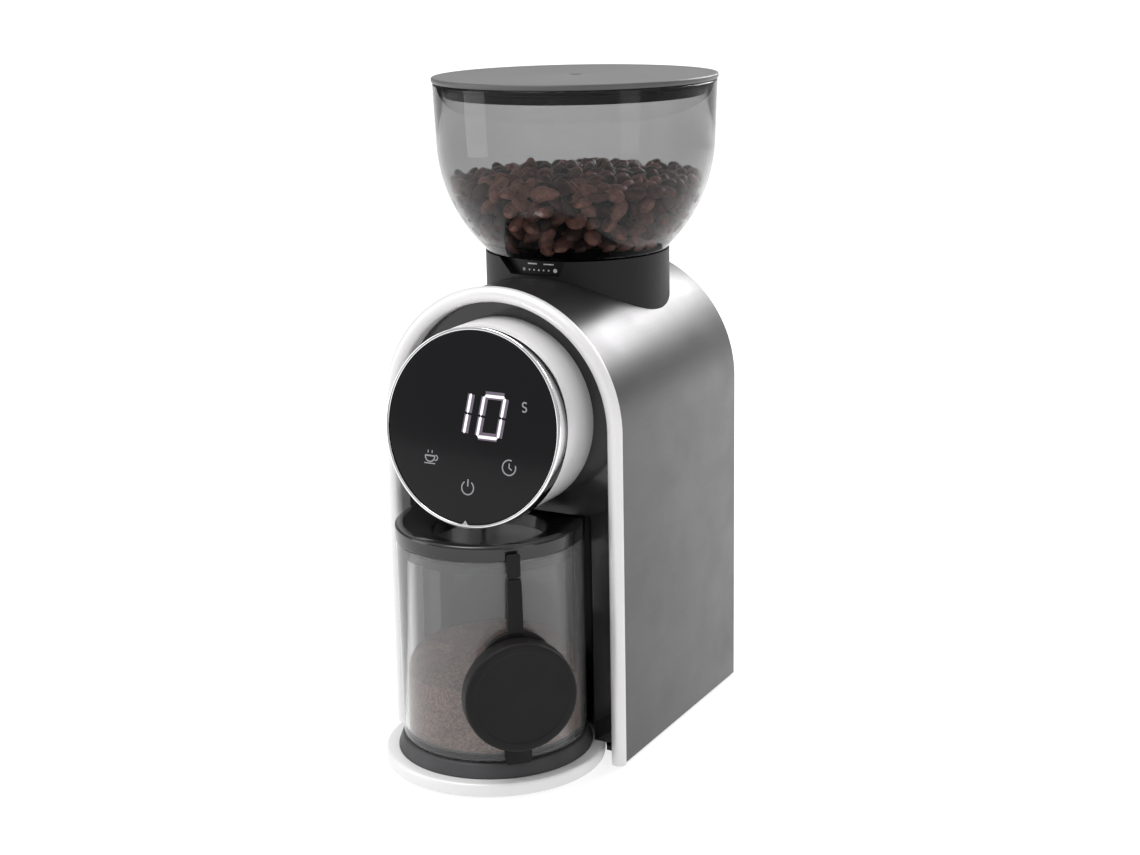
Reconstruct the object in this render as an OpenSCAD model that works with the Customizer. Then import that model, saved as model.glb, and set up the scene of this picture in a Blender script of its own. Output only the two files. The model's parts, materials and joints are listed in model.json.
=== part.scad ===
// Burr coffee grinder with a bean hopper on top and a grounds jar in front.
// Millimetres. +Z is up and the front faces -Y. The origin lies on the surface
// that the grinder stands on, in the middle of its outline seen from above.

/* [Body] */
// Width across the front bezel
body_w = 130; // [124:1:170]
// Height of the arched body above the surface
body_h = 230; // [222:1:290]
// Depth of the metal shell from the front seam to the back
body_d = 132; // [128:1:165]
// Sheet thickness of the metal shell
shell_wall = 1.2; // [0.8:0.1:2]
// Gap between the body and the surface under it
foot_gap = 1.2; // [1:0.1:4]
// How far the bezel stands outside the shell
bezel_proud = 1.5; // [0.5:0.1:3]
// Width of the half-round bezel rim
bezel_rim_w = 7.6; // [6:0.1:10]
// Depth of the dark front panel behind the shell's front edge
panel_inset = 6.5; // [4:0.1:10]
// Thickness of the plastic covers
cover_wall = 2.5; // [1.6:0.1:4]
// Distance from the burr axis to the back of the shell
back_to_burr = 51.5; // [50:0.5:70]
// Radius of each rubber foot
foot_r = 6; // [4:0.5:10]

/* [Cord inlet] */
// Radius of the cord that the gland takes
cord_r = 3.5; // [2.5:0.1:5]
// Height of the cord gland
gland_z = 22; // [18:1:40]
// Length of the bore through the gland
gland_len = 12; // [8:1:20]

/* [Control drum] */
// Radius of the drum that carries the display
drum_r = 46.5; // [38:0.5:52]
// Height of the drum's axis
drum_z = 168; // [160:0.5:200]
// Wall of the drum
drum_wall = 2.2; // [1.6:0.1:4]
// Distance from the shell's front edge to the middle of the display
drum_reach = 26.7; // [22:0.1:40]
// How far the display leans back
face_tilt = 9.8; // [0:0.2:15]
// Thickness of the display glass
glass_t = 2; // [1.2:0.1:3]
// Wall of the turning dial ring
dial_wall = 1.65; // [1.2:0.05:4]
// Length of the dial ring
dial_len = 8; // [5:0.5:12]
// How far the dial ring stands in front of the glass
dial_proud = 0.5; // [0:0.1:2]

/* [Dish and jar] */
// Distance from the shell's front edge to the jar's axis
jar_reach = 12.5; // [8:0.5:20]
// Outer radius of the jar
jar_r = 44.7; // [34:0.1:46]
// Wall of the jar
jar_wall = 2; // [1.5:0.1:4]
// Thickness of the jar's bottom
jar_floor = 3; // [2:0.1:6]
// Height of the surface that the jar stands on
platform_top = 14.5; // [10:0.5:20]
// Height of the dish's rim
dish_top = 7.7; // [6:0.1:9.5]
// Width of the dish's rim
dish_rim_w = 6; // [3:0.1:8]
// Space between the jar and the niche behind it
niche_gap = 3.6; // [2:0.1:5]
// Gap between the jar's lid and the drum above it
lid_to_drum = 0.9; // [0.6:0.1:3]
// Height of the jar lid's rim
jar_lid_h = 7.3; // [6:0.1:12]
// Level of the ground coffee above the jar's bottom
grounds_level = 36; // [10:1:80]

/* [Stopper] */
// Direction of the stopper, turned from the front towards +X
stopper_az = 43.5; // [30:0.5:50]
// Radius of the stopper's plug
plug_r = 26.5; // [15:0.5:28]
// Length of the plug from the middle of its strap
plug_len = 10; // [6:0.5:12]
// Thickness of the strap
strap_t = 2.4; // [1.6:0.1:3]
// Width of the strap at its root
strap_w = 6.5; // [4:0.5:10]
// Length of the strap between its two folds
strap_link_len = 11.7; // [9:0.1:20]
// Radius of the plate behind the plug
backplate_r = 18; // [10:0.5:22]
// Distance of that plate's middle above the plug's middle
backplate_up = 11.5; // [0:0.5:14]

/* [Hopper] */
// Radius of the hopper's rim
hopper_r = 70; // [60:0.5:85]
// Height from the collar to the hopper's rim
hopper_h = 82; // [70:0.5:110]
// Height of the hopper's upright upper wall
hopper_wall_h = 27; // [15:0.5:40]
// How much the upper wall narrows downwards
hopper_taper = 1; // [0:0.1:3]
// Radius of the hopper's rounded underside
hopper_curve_r = 75; // [72:0.5:95]
// Wall of the hopper
hopper_wall = 2.4; // [1.6:0.1:4]
// Outer radius of the hopper's neck
neck_r = 33.5; // [26:0.1:34]
// Wall of the hopper's neck
neck_wall = 2.2; // [1.6:0.1:3]
// Thickness of the hopper's lid
lid_t = 2.7; // [2:0.1:5]
// How far the lid reaches past the hopper's rim
lid_overhang = 0.5; // [0:0.1:3]
// Level of the beans at the hopper's wall, above the collar
bean_level = 37.5; // [20:0.5:70]
// Rise of the beans in the middle
bean_rise = 3.5; // [1:0.5:8]

/* [Collar and grind setting] */
// Outer radius of the collar
collar_r = 46; // [45.5:0.5:52]
// Height of the collar above the top of the body
collar_h = 6.5; // [5:0.5:12]
// Wall of the collar
collar_wall = 4; // [3:0.1:5]
// Wall of the collar where it passes through the shell
spigot_wall = 1.8; // [1.2:0.1:2.5]
// Width of the window's lower edge
window_w = 26.5; // [15:0.5:30]
// Depth of the window
window_depth = 7.3; // [4:0.1:9]
// Lean of the window's left edge
window_lean_left = 8.4; // [0:0.1:10]
// Lean of the window's right edge
window_lean_right = 2.9; // [0:0.1:10]
// Height of the setting ring
setting_ring_h = 8; // [6:0.5:10]

/* [Burrs] */
// Largest radius of the cone burr
cone_r = 20; // [16:0.5:21]
// Radius of the cone burr's top
cone_top_r = 10; // [8:0.5:12]
// Height of the cone burr
cone_h = 22; // [16:0.5:26]
// Gap between the burrs at their lower edge
burr_gap = 1.1; // [0.9:0.05:2]
// Outer radius of the ring burr
ring_burr_r = 26; // [24:0.5:28]
// Height of the ring burr
ring_burr_h = 18; // [14:0.5:20]
// Teeth on each burr
burr_teeth = 12; // [8:1:16]
// Wall of the burr chamber
chamber_wall = 3; // [2:0.1:4]
// Height of the burr chamber
chamber_h = 58; // [54:0.5:64]
// Radius of the impeller
impeller_r = 33; // [26:0.5:34]
// Width inside the grounds chute
chute_w = 18; // [12:0.5:22]
// Wall of the grounds chute
chute_wall = 2; // [1.2:0.1:3]

/* [Gearbox] */
// Gear module
gear_m = 1; // [0.9:0.05:1.1]
// Teeth on the motor pinion
pinion_z = 12; // [12:1:14]
// Teeth on the idler's wheel
wheel_z = 48; // [44:1:50]
// Teeth on the idler's pinion
idler_z = 13; // [13:1:15]
// Direction of the idler, turned from +X towards +Y
idler_az = 30; // [24:1:34]
// Wall of the gearbox
gearbox_wall = 3; // [2:0.1:5]
// Height of the gearbox from its floor to the top of its cover
gearbox_h = 34; // [34:1:40]
// Height of the gearbox's floor above the surface
gearbox_z = 120; // [118:1:125]
// Radius of the drive shaft
shaft_r = 5; // [4:0.1:6]
// Radius of the idler's pin
idler_pin_r = 3; // [2:0.1:3.5]

/* [Motor] */
// Radius of the motor
motor_r = 26; // [20:0.5:28]
// Length of the motor
motor_len = 80; // [60:1:90]
// Radius of the motor's shaft
motor_shaft_r = 2.5; // [1.5:0.1:3]

/* [Fits] */
// Gap between parts that move past each other
slide_gap = 0.3; // [0.3:0.05:0.6]
// Radial gap between a shaft and its bush or gear
run_gap = 0.05; // [0.02:0.01:0.1]
// Gap between fixed parts that fit together
seat_gap = 0.1; // [0.05:0.05:0.2]

/* [Hidden] */
$fn = 96;
// Overlap that lets a cut run past the face it opens
cut = 1;

// Places along Y, from the front to the back
dish_r = jar_r + 2.8 + dish_rim_w;
lid_r = hopper_r + lid_overhang;
burr_to_jar = body_d - back_to_burr + jar_reach;
jar_lid_r = jar_r + 0.6;
strap_reach = jar_lid_r + 2.1;
plug_chamfer = 1;
stopper_reach = (strap_reach + plug_len) * cos(stopper_az) + (plug_r - plug_chamfer) * sin(stopper_az);
front_reach = max(dish_r, stopper_reach);
jar_y = front_reach - (front_reach + burr_to_jar + max(lid_r, back_to_burr)) / 2;
burr_y = jar_y + burr_to_jar;
seam_y = jar_y + jar_reach;
back_y = seam_y + body_d;
panel_y = seam_y + panel_inset;
cover_y = back_y - 0.3;

// Body
bezel_r = body_w / 2;
arch_z = body_h - bezel_r;
shell_r = bezel_r - bezel_proud;
inside_r = shell_r - shell_wall;
body_top = arch_z + shell_r;
bezel_curve_r = bezel_rim_w / 2;
bezel_inner_r = bezel_r - bezel_rim_w;
bezel_return_t = 2.2;
pan_t = 2.5;
pan_z = foot_gap + 0.3;
pan_top = pan_z + pan_t;
cover_screw_r = 1.6;
screw_head_r = 3.2;
screw_head_h = 1.8;

// Dish, niche and jar
niche_r = jar_r + niche_gap;
niche_wall = 2;
drum_bottom = drum_z - drum_r;
dial_r = drum_r + 0.5;
dial_bottom = drum_z - dial_r * cos(face_tilt);
lid_top = min(drum_bottom, dial_bottom) - lid_to_drum;
lid_seat = lid_top - jar_lid_h;
jar_top = lid_seat - 0.2;
jar_bore_r = jar_r - jar_wall;
jar_inside_z = platform_top + jar_floor;
plug_hole_r = plug_r + 0.4;
platform_r = dish_r - dish_rim_w - 0.2;
dish_floor = 2;

// Stopper, in a frame on the jar's axis whose -Y points outwards
strap_y = -strap_reach;
fold_z = lid_top - 4.6;
seat_fold = 150;
second_fold_z = fold_z - strap_link_len;
strap_len = -strap_y + strap_link_len * sin(180 - seat_fold);
plug_z = second_fold_z - strap_len;
strap_low_w = strap_w + 2;
tab_w = 12.5;
tab_end_z = plug_z - plug_r - 9.5;

// Drum
face_y = seam_y - drum_reach;
glass_r = dial_r - dial_wall - slide_gap;
dial_gap = slide_gap;
drum_bore_r = drum_r - drum_wall;
flange_t = 3;
face_bore_r = glass_r - 2.5;

// Hopper and collar
collar_top = body_top + collar_h + 1.5;
hopper_z = collar_top + 0.5;
hopper_top = hopper_z + hopper_h;
shoulder_z = hopper_top - hopper_wall_h;
shoulder_r = hopper_r - hopper_taper;
hopper_foot_z = hopper_z + 1.4;
neck_bore_r = neck_r - neck_wall;
collar_bore_r = collar_r - collar_wall;
spigot_r = collar_bore_r + spigot_wall;
spigot_len = 31.5;
lid_bottom = hopper_top + slide_gap;
seal_h = 7;
bean_top = collar_top + bean_level;
bean_dome_r = (pow(hopper_r - hopper_wall, 2) + pow(bean_rise, 2)) / (2 * bean_rise);

// Gearbox and drive, stacked along the burr axis
wheel_r = wheel_z * gear_m / 2;
gear_centres = (pinion_z + wheel_z) * gear_m / 2;
output_z = pinion_z + wheel_z - idler_z;
idler_x = gear_centres * cos(idler_az);
idler_y = burr_y + gear_centres * sin(idler_az);
gear_floor = gearbox_z + gearbox_wall;
wheel_face = 8;
output_face = 10;
wheel_low = gear_floor + 2;
output_low = wheel_low + wheel_face + 3;
cover_t = 4;
gearbox_top = gearbox_z + gearbox_h;
bush_wall = 4;
bush_len = 8;
gear_ear_r = 8;
chamber_post_az = [60, 150, 240, 330];
chamber_post_reach = shaft_r + bush_wall + 12;
gearbox_r = max(wheel_r + 2.5, chamber_post_reach + screw_head_r + 0.5);

// Burr chamber, carrier and setting ring
chamber_r = collar_bore_r - 1;
chamber_bore_r = chamber_r - chamber_wall;
chamber_z = body_top - chamber_h - 4.5;
chamber_top = chamber_z + chamber_h;
chamber_floor_t = 4;
chamber_floor = chamber_z + chamber_floor_t;
sweep_r = impeller_r + 1.5;
sweep_h = 17;
impeller_z = chamber_floor + 1.5;
cone_z = impeller_z + 12.5;
carrier_z = chamber_floor + sweep_h + 2;
ring_burr_z = carrier_z + 0.2;
ring_burr_top = ring_burr_z + ring_burr_h;
carrier_r = chamber_bore_r - 0.4;
carrier_bore_r = neck_r + 0.5;
carrier_top = chamber_top + 2;
setting_ring_top = collar_top - 0.5;
setting_ring_z = setting_ring_top - setting_ring_h;
setting_ring_r = collar_bore_r - slide_gap;
finger_w = 8;
finger_len = 7;
auger_h = 10;
shaft_top = cone_z + cone_h;
neck_end = ring_burr_top + 9;

// Motor, hung under the gearbox, and the deck that carries them
motor_z = gearbox_z - motor_len;
motor_wall = 2;
deck_z = gearbox_z - 10;
deck_t = 4;
leg_w = 8;
leg_x = inside_r - 12.3;
leg_back_y = cover_y - cover_wall - leg_w / 2 - 0.2;
leg_front_y = burr_y - 33;
mount_r = 6;
mount_az = [100, 215, 315];
mount_reach = 40;

// ---------------------------------------------------------------- helpers

// Extrudes an outline drawn in X and Z along Y.
module along_y(y0, y1) {
    translate([0, y1, 0]) rotate([90, 0, 0]) linear_extrude(y1 - y0) children();
}

// Extrudes an outline drawn in Y and Z along X, both ways from the middle.
module across_x(w) {
    translate([-w / 2, 0, 0]) rotate([90, 0, 90]) linear_extrude(w) children();
}

// Round-topped outline of the body, drawn in X and Z.
module arch(r, z0) {
    translate([0, arch_z]) circle(r);
    translate([-r, z0]) square([2 * r, arch_z - z0]);
}

module at_burr(z = 0) { translate([0, burr_y, z]) children(); }
module at_idler(z = 0) { translate([idler_x, idler_y, z]) children(); }
module at_jar(z = 0) { translate([0, jar_y, z]) children(); }

// Frame on the middle of the display: +Z leaves the glass, +Y runs up it.
module at_face() {
    translate([0, face_y, drum_z]) rotate([90 - face_tilt, 0, 0]) children();
}

// Frame on the jar's axis with the stopper on its -Y side.
module at_stopper() { at_jar() rotate([0, 0, stopper_az]) children(); }

module tube(r, bore, h) {
    difference() {
        cylinder(r = r, h = h);
        translate([0, 0, -cut]) cylinder(r = bore, h = h + 2 * cut);
    }
}

// Screw with its head's underside at z = 0 and its shank below.
module screw(shank_r, len, head_r = screw_head_r, head_h = screw_head_h) {
    difference() {
        union() {
            cylinder(r = head_r, h = head_h);
            translate([0, 0, -len]) cylinder(r = shank_r, h = len + cut / 2);
        }
        for (a = [0, 90]) translate([0, 0, head_h]) rotate([0, 0, a])
            cube([head_r * 1.3, 0.7, 1.6], center = true);
    }
}

// Involute angle, in degrees, for a pressure angle a.
function involute(a) = tan(a) * 180 / PI - a;

// Involute gear outline with a tooth on the +X axis.
module gear_outline(z, m) {
    pressure = 25;
    backlash = 0.16;
    pitch_r = z * m / 2;
    base_r = pitch_r * cos(pressure);
    root_r = pitch_r - 1.2 * m;
    tip_r = pitch_r + 0.9 * m;
    half = 90 / z - backlash / (2 * pitch_r) * 180 / PI;
    steps = 4;
    function flank(r) = half + involute(pressure) - involute(acos(min(1, base_r / r)));
    radii = concat([root_r], [for (i = [0:steps])
        max(root_r + 0.05, base_r) + (tip_r - max(root_r + 0.05, base_r)) * i / steps]);
    polygon([for (t = [0:z - 1]) let (c = 360 * t / z)
        each concat(
            [for (r = radii) r * [cos(c - flank(r)), sin(c - flank(r))]],
            [for (i = [len(radii) - 1:-1:0]) let (r = radii[i])
                r * [cos(c + flank(r)), sin(c + flank(r))]])]);
}

module gear(z, m, h, bore, turn) {
    linear_extrude(h) difference() {
        rotate(turn) gear_outline(z, m);
        circle(bore);
    }
}

// ------------------------------------------------------------------- body

module body_shell() {
    color([0.33, 0.33, 0.34]) difference() {
        along_y(seam_y, back_y) difference() {
            arch(shell_r, foot_gap);
            arch(inside_r, foot_gap - cut);
        }
        at_burr(arch_z + 20) cylinder(r = spigot_r + seat_gap, h = shell_r);
    }
}

// Section of the bezel: X is the distance from the arch's centre, Y is -y.
module bezel_section() {
    front = -seam_y;
    middle = bezel_r - bezel_curve_r;
    intersection() {
        translate([middle, front - 0.3]) circle(bezel_curve_r);
        translate([bezel_inner_r, front]) square([bezel_rim_w, bezel_rim_w]);
    }
    translate([bezel_inner_r, -panel_y - cover_wall - 1])
        square([bezel_return_t, panel_inset + cover_wall + 1.5]);
    translate([bezel_inner_r, front - 4]) square([inside_r - 0.15 - bezel_inner_r, 4.5]);
}

module front_bezel() {
    color([0.86, 0.86, 0.86]) {
        translate([0, 0, arch_z]) rotate([90, 0, 0]) rotate_extrude(angle = 180) bezel_section();
        for (side = [0, 1]) mirror([side, 0, 0]) translate([0, 0, foot_gap])
            mirror([0, 1, 0]) linear_extrude(arch_z - foot_gap) bezel_section();
    }
}

// Dark panel inside the bezel, with the niche that the jar backs into.
module front_panel() {
    panel_z = dish_top + 0.2;
    niche_top = drum_bottom - 0.2;
    color([0.05, 0.05, 0.055]) difference() {
        union() {
            along_y(panel_y, panel_y + cover_wall) arch(bezel_inner_r - seat_gap, panel_z);
            intersection() {
                at_jar(panel_z) cylinder(r = niche_r + niche_wall, h = niche_top + niche_wall - panel_z);
                translate([-body_w / 2, panel_y, 0]) cube([body_w, body_d, body_h]);
            }
        }
        at_jar(panel_z - cut) cylinder(r = niche_r, h = niche_top - panel_z + cut);
        along_y(panel_y - cut, panel_y + cover_wall + cut)
            translate([0, drum_z]) circle(drum_bore_r - 1);
    }
}

back_screw_z = [25, 98];
vent_count = 9;
vent_pitch = 7;

module back_cover() {
    vent_low = 40;
    color([0.09, 0.09, 0.095]) difference() {
        union() {
            along_y(cover_y - cover_wall, cover_y) arch(inside_r - seat_gap, foot_gap);
            along_y(cover_y - 7, cover_y - cover_wall + 0.1) difference() {
                arch(inside_r - seat_gap, pan_top + 0.5);
                arch(inside_r - 2.2, pan_top - cut);
            }
        }
        for (i = [0:vent_count - 1])
            translate([-20, cover_y - 9, vent_low + vent_pitch * i]) cube([40, 10, 3]);
        along_y(cover_y - 9, cover_y + cut) translate([0, gland_z]) circle(cord_r + 3 + seat_gap);
        for (x = [-leg_x, leg_x], z = back_screw_z) translate([x, 0, z])
            along_y(cover_y - 9, cover_y + cut) circle(cover_screw_r + 0.3);
        for (x = [-leg_x, leg_x], z = back_screw_z) translate([x, 0, z])
            along_y(cover_y - 1.5, cover_y + cut) circle(screw_head_r + 0.4);
        for (x = [-leg_x, leg_x]) translate([x - leg_w / 2 - 0.5, cover_y - 9, 0])
            cube([leg_w + 1, 9 - cover_wall, deck_z + 8]);
    }
}

foot_spots = [for (x = [-1, 1]) each [
    [x * (leg_x - 16), back_y - 15, pan_z],
    [x * dish_r / 2, jar_y - dish_r / 2, foot_gap]]];
pan_screw_spots = [for (x = [-1, 1]) each [
    [x * leg_x, leg_front_y], [x * leg_x, leg_back_y - 12], [x * 20, jar_y + dish_r + 5]]];

module base_pan() {
    front_y = panel_y + cover_wall + 2;
    color([0.08, 0.08, 0.085]) difference() {
        union() {
            translate([-inside_r + seat_gap, front_y, pan_z])
                cube([2 * (inside_r - seat_gap), cover_y - cover_wall - 0.2 - front_y, pan_t]);
            for (x = [-leg_x, leg_x]) translate([x, leg_back_y - 12, pan_top - 0.1])
                cylinder(r = 4.5, h = 5);
        }
        at_jar(0) cylinder(r = dish_r + 0.5, h = 30);
        for (p = pan_screw_spots) translate([p[0], p[1], 0]) {
            cylinder(r = cover_screw_r + 0.3, h = 30);
            translate([0, 0, pan_z - cut]) cylinder(r = screw_head_r + 0.4, h = cut + 1.2);
        }
        for (p = foot_spots) if (p[1] > burr_y) translate([p[0], p[1], 0]) cylinder(r = 3.1, h = 30);
        for (i = [0:5]) translate([-22, burr_y - 16 + 7 * i, 0]) cube([44, 3, 30]);
    }
}

module base_dish() {
    color([0.87, 0.87, 0.87]) difference() {
        union() {
            at_jar(foot_gap) cylinder(r = dish_r, h = dish_top - foot_gap);
            translate([-30, jar_y + dish_r - 8, pan_top + 0.1])
                cube([60, 18, dish_top - 0.5 - pan_top]);
        }
        at_jar(foot_gap + dish_floor) cylinder(r = platform_r + seat_gap, h = 20);
        for (x = [-20, 20]) translate([x, jar_y + dish_r + 5, 0]) cylinder(r = cover_screw_r + 0.05, h = 20);
        for (p = foot_spots) if (p[1] < burr_y) translate([p[0], p[1], 0]) cylinder(r = 3.1, h = 1 + foot_gap);
    }
}

// Dark tray under the jar: a flat rim, a short slope and a level top.
module jar_platform() {
    low = foot_gap + dish_floor + 0.05;
    slope_z = dish_top + 0.5;
    color([0.16, 0.16, 0.17]) at_jar() rotate_extrude() polygon([
        [0, low], [platform_r, low], [platform_r, slope_z],
        [jar_r + 0.4, platform_top - 0.4], [jar_r, platform_top - 0.05], [0, platform_top - 0.05]]);
}

module rubber_feet() {
    color([0.03, 0.03, 0.03]) for (p = foot_spots) translate([p[0], p[1], 0]) {
        cylinder(r = foot_r, h = p[2]);
        cylinder(r = 3, h = p[2] + 0.9);
    }
}

module base_screws() {
    color([0.6, 0.6, 0.62]) for (p = pan_screw_spots)
        translate([p[0], p[1], pan_z + 1.2]) mirror([0, 0, 1])
            screw(cover_screw_r, abs(p[0]) < leg_x - 1 ? 5 : 9, screw_head_r, 1.1);
}

module back_screws() {
    color([0.6, 0.6, 0.62]) for (x = [-leg_x, leg_x], z = back_screw_z)
        translate([x, cover_y - 1.5, z]) rotate([-90, 0, 0])
            screw(cover_screw_r, 7.5, screw_head_r, 1.4);
}

module cord_gland() {
    color([0.04, 0.04, 0.04]) translate([0, cover_y + 2, gland_z]) rotate([90, 0, 0]) difference() {
        union() {
            cylinder(r = cord_r + 4.5, h = 2);
            cylinder(r = cord_r + 3, h = gland_len);
            translate([0, 0, 2 + cover_wall + 0.2]) cylinder(r = cord_r + 4.5, h = 2);
        }
        translate([0, 0, -cut]) cylinder(r = cord_r, h = gland_len + 2 * cut);
    }
}

// Inner frame: a deck round the motor on four legs that stand on the base.
module chassis() {
    deck_y0 = leg_front_y - leg_w / 2;
    deck_y1 = leg_back_y + leg_w / 2;
    color([0.2, 0.2, 0.21]) difference() {
        union() {
            translate([-leg_x - leg_w / 2, deck_y0, deck_z])
                cube([2 * leg_x + leg_w, deck_y1 - deck_y0, deck_t]);
            for (x = [-leg_x, leg_x], y = [leg_front_y, leg_back_y])
                translate([x - leg_w / 2, y - leg_w / 2, pan_top + 0.05])
                    cube([leg_w, leg_w, deck_z - pan_top]);
            for (x = [-leg_x, leg_x]) translate([x - leg_w / 2, leg_back_y - 16, pan_top + 5])
                cube([leg_w, 14, 10]);
        }
        at_burr(deck_z - cut) cylinder(r = motor_r + 4, h = deck_t + 2 * cut);
        at_burr(deck_z - cut) for (a = mount_az) rotate([0, 0, a]) translate([mount_reach, 0, 0])
            cylinder(r = 3 + seat_gap, h = deck_t + 2 * cut);
        for (x = [-leg_x, leg_x]) {
            for (y = [leg_front_y, leg_back_y - 12])
                translate([x, y, 0]) cylinder(r = cover_screw_r + 0.05, h = 18);
            for (z = back_screw_z) translate([x, cover_y - 12, z])
                along_y(0, 13) circle(cover_screw_r + 0.05);
        }
    }
}

// ----------------------------------------------------------- control drum

// Everything behind a plane at depth d under the display.
module behind_face(d) {
    at_face() translate([-body_w, -body_w, -d - body_d]) cube([2 * body_w, 2 * body_w, body_d]);
}

module control_drum() {
    shoulder = dial_len - dial_proud + dial_gap;
    color([0.84, 0.84, 0.84]) difference() {
        union() {
            intersection() {
                along_y(face_y - 20, panel_y) translate([0, drum_z]) circle(drum_r);
                behind_face(shoulder);
            }
            at_face() translate([0, 0, -shoulder - 0.5])
                cylinder(r = glass_r - 0.3, h = shoulder + 0.5 - glass_t - 0.05);
        }
        intersection() {
            along_y(face_y - 20, panel_y + cut) translate([0, drum_z]) circle(drum_bore_r);
            behind_face(shoulder + flange_t);
        }
        at_face() translate([0, 0, -shoulder - flange_t - 0.2])
            cylinder(r = face_bore_r, h = shoulder + flange_t);
        translate([-chute_w / 2 - chute_wall - 0.3, jar_y - chute_w / 2 - 0.3, drum_z - drum_r - cut])
            cube([chute_w + 2 * chute_wall + 0.6, chute_w + 0.6, 12]);
    }
}

module display_glass() {
    color([0.02, 0.02, 0.025]) at_face() translate([0, 0, -glass_t])
        cylinder(r = glass_r, h = glass_t);
}

// Circuit board behind the glass with its digit block and three touch pads.
module display_board() {
    board_r = face_bore_r - 4;
    board_z = -glass_t - 6.5;
    color([0.05, 0.25, 0.12]) at_face() {
        translate([0, 0, board_z]) cylinder(r = board_r, h = 1.6);
        translate([-12, -6, board_z + 1.5]) cube([30, 22, 4.8]);
        for (p = [[-21.4, -16.2], [21.4, -16.2], [0, -28.6]])
            translate([p[0], p[1], board_z + 1.5]) cylinder(r = 5, h = 4.8);
    }
}

module dial_ring() {
    color([0.8, 0.8, 0.82]) at_face() translate([0, 0, dial_proud - dial_len]) difference() {
        tube(dial_r, dial_r - dial_wall, dial_len);
        translate([0, 0, dial_len - 0.4]) difference() {
            cylinder(r = dial_r + cut, h = cut);
            translate([0, 0, -cut]) cylinder(r1 = dial_r + cut, r2 = dial_r - cut - 0.4, h = 2 * cut + 0.4);
        }
    }
}

// ------------------------------------------------- hopper, collar, setting

module collar() {
    window_z = collar_top - window_depth;
    half_w = window_w / 2;
    color([0.04, 0.04, 0.045]) difference() {
        at_burr(collar_top - spigot_len) difference() {
            cylinder(r = collar_r, h = spigot_len);
            translate([0, 0, -cut]) cylinder(r = collar_bore_r, h = spigot_len + 2 * cut);
        }
        difference() {
            along_y(seam_y - cut, back_y + 20) arch(shell_r + 0.05, 0);
            at_burr(0) cylinder(r = spigot_r, h = body_h + 20);
        }
        along_y(burr_y - collar_r - cut, burr_y - collar_r / 2) polygon([
            [-half_w, window_z], [half_w, window_z],
            [half_w + window_lean_right, collar_top + 0.1], [half_w + window_lean_right, collar_top + cut],
            [-half_w - window_lean_left, collar_top + cut], [-half_w - window_lean_left, collar_top + 0.1]]);
    }
}

// Ring that the hopper turns. Its fingers drive the burr carrier round.
module setting_ring() {
    color([0.06, 0.06, 0.065]) at_burr() {
        difference() {
            translate([0, 0, setting_ring_z])
                tube(setting_ring_r, carrier_bore_r, setting_ring_h);
            for (a = [45, 225]) rotate([0, 0, a])
                translate([neck_r, -5, setting_ring_top - 3]) cube([5, 10, 4]);
        }
        for (a = [0:90:270]) rotate([0, 0, a]) intersection() {
            translate([0, 0, setting_ring_z - finger_len])
                tube(carrier_r - 0.3, carrier_bore_r + 0.3, finger_len + 0.5);
            translate([0, -finger_w / 2, 0]) cube([chamber_r, finger_w, collar_top]);
        }
    }
}

// Half section of the bowl, shrunk inwards by t.
module bowl_section(t) {
    polygon([[0, shoulder_z - 0.1], [shoulder_r - t, shoulder_z - 0.1],
        [shoulder_r - t, shoulder_z], [hopper_r - t, hopper_top], [0, hopper_top]]);
    intersection() {
        translate([shoulder_r - hopper_curve_r, shoulder_z]) circle(hopper_curve_r - t);
        translate([0, hopper_foot_z]) square([hopper_r, shoulder_z - hopper_foot_z]);
    }
}

function bowl_r(z) = shoulder_r - hopper_curve_r
    + sqrt(pow(hopper_curve_r, 2) - pow(shoulder_z - z, 2));

module hopper_bowl() {
    funnel_top = hopper_foot_z + 4.5;
    foot_r2 = bowl_r(hopper_foot_z);
    color([0.55, 0.55, 0.57, 0.45]) at_burr() {
        rotate_extrude() difference() {
            union() {
                bowl_section(0);
                translate([0, hopper_z]) square([foot_r2 - 0.6, hopper_foot_z - hopper_z + 0.1]);
                translate([0, neck_end]) square([neck_r, hopper_z - neck_end + 0.1]);
            }
            intersection() {
                bowl_section(hopper_wall);
                translate([0, funnel_top]) square([2 * hopper_r, hopper_h + 20]);
            }
            polygon([[0, neck_end - cut], [neck_bore_r, neck_end - cut], [neck_bore_r, hopper_z + 1],
                [bowl_r(funnel_top) - hopper_wall - 0.6, funnel_top + 0.1], [0, funnel_top + 0.1]]);
            translate([0, hopper_top - 0.1]) square([hopper_r - hopper_wall, cut]);
        }
        for (a = [45, 225]) rotate([0, 0, a]) intersection() {
            translate([neck_r - 1, -4.7, setting_ring_top - 2.7]) cube([5.5, 9.4, 3.5]);
            cylinder(r = neck_r + 4.5, h = hopper_top);
        }
    }
}

module hopper_lid() {
    color([0.25, 0.25, 0.26]) at_burr(lid_bottom) difference() {
        union() {
            translate([0, 0, 0.8]) cylinder(r = lid_r, h = lid_t - 0.8);
            cylinder(r1 = lid_r - 0.8, r2 = lid_r, h = 0.8);
            translate([0, 0, -seal_h + 1.5]) tube(hopper_r - hopper_wall - 4, hopper_r - hopper_wall - 6, seal_h - 1.4);
        }
        translate([0, 0, lid_t - 0.8]) cylinder(r1 = 3, r2 = 4.2, h = 0.9);
    }
}

module hopper_lid_seal() {
    seal_r = hopper_r - hopper_wall - 1.7;
    color([0.03, 0.03, 0.03]) at_burr(lid_bottom - seal_h) {
        tube(seal_r, hopper_r - hopper_wall - 3.9, seal_h - 0.05);
        translate([0, 0, seal_h - 4]) tube(seal_r + 1.1, seal_r - 0.5, 1.2);
    }
}

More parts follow.
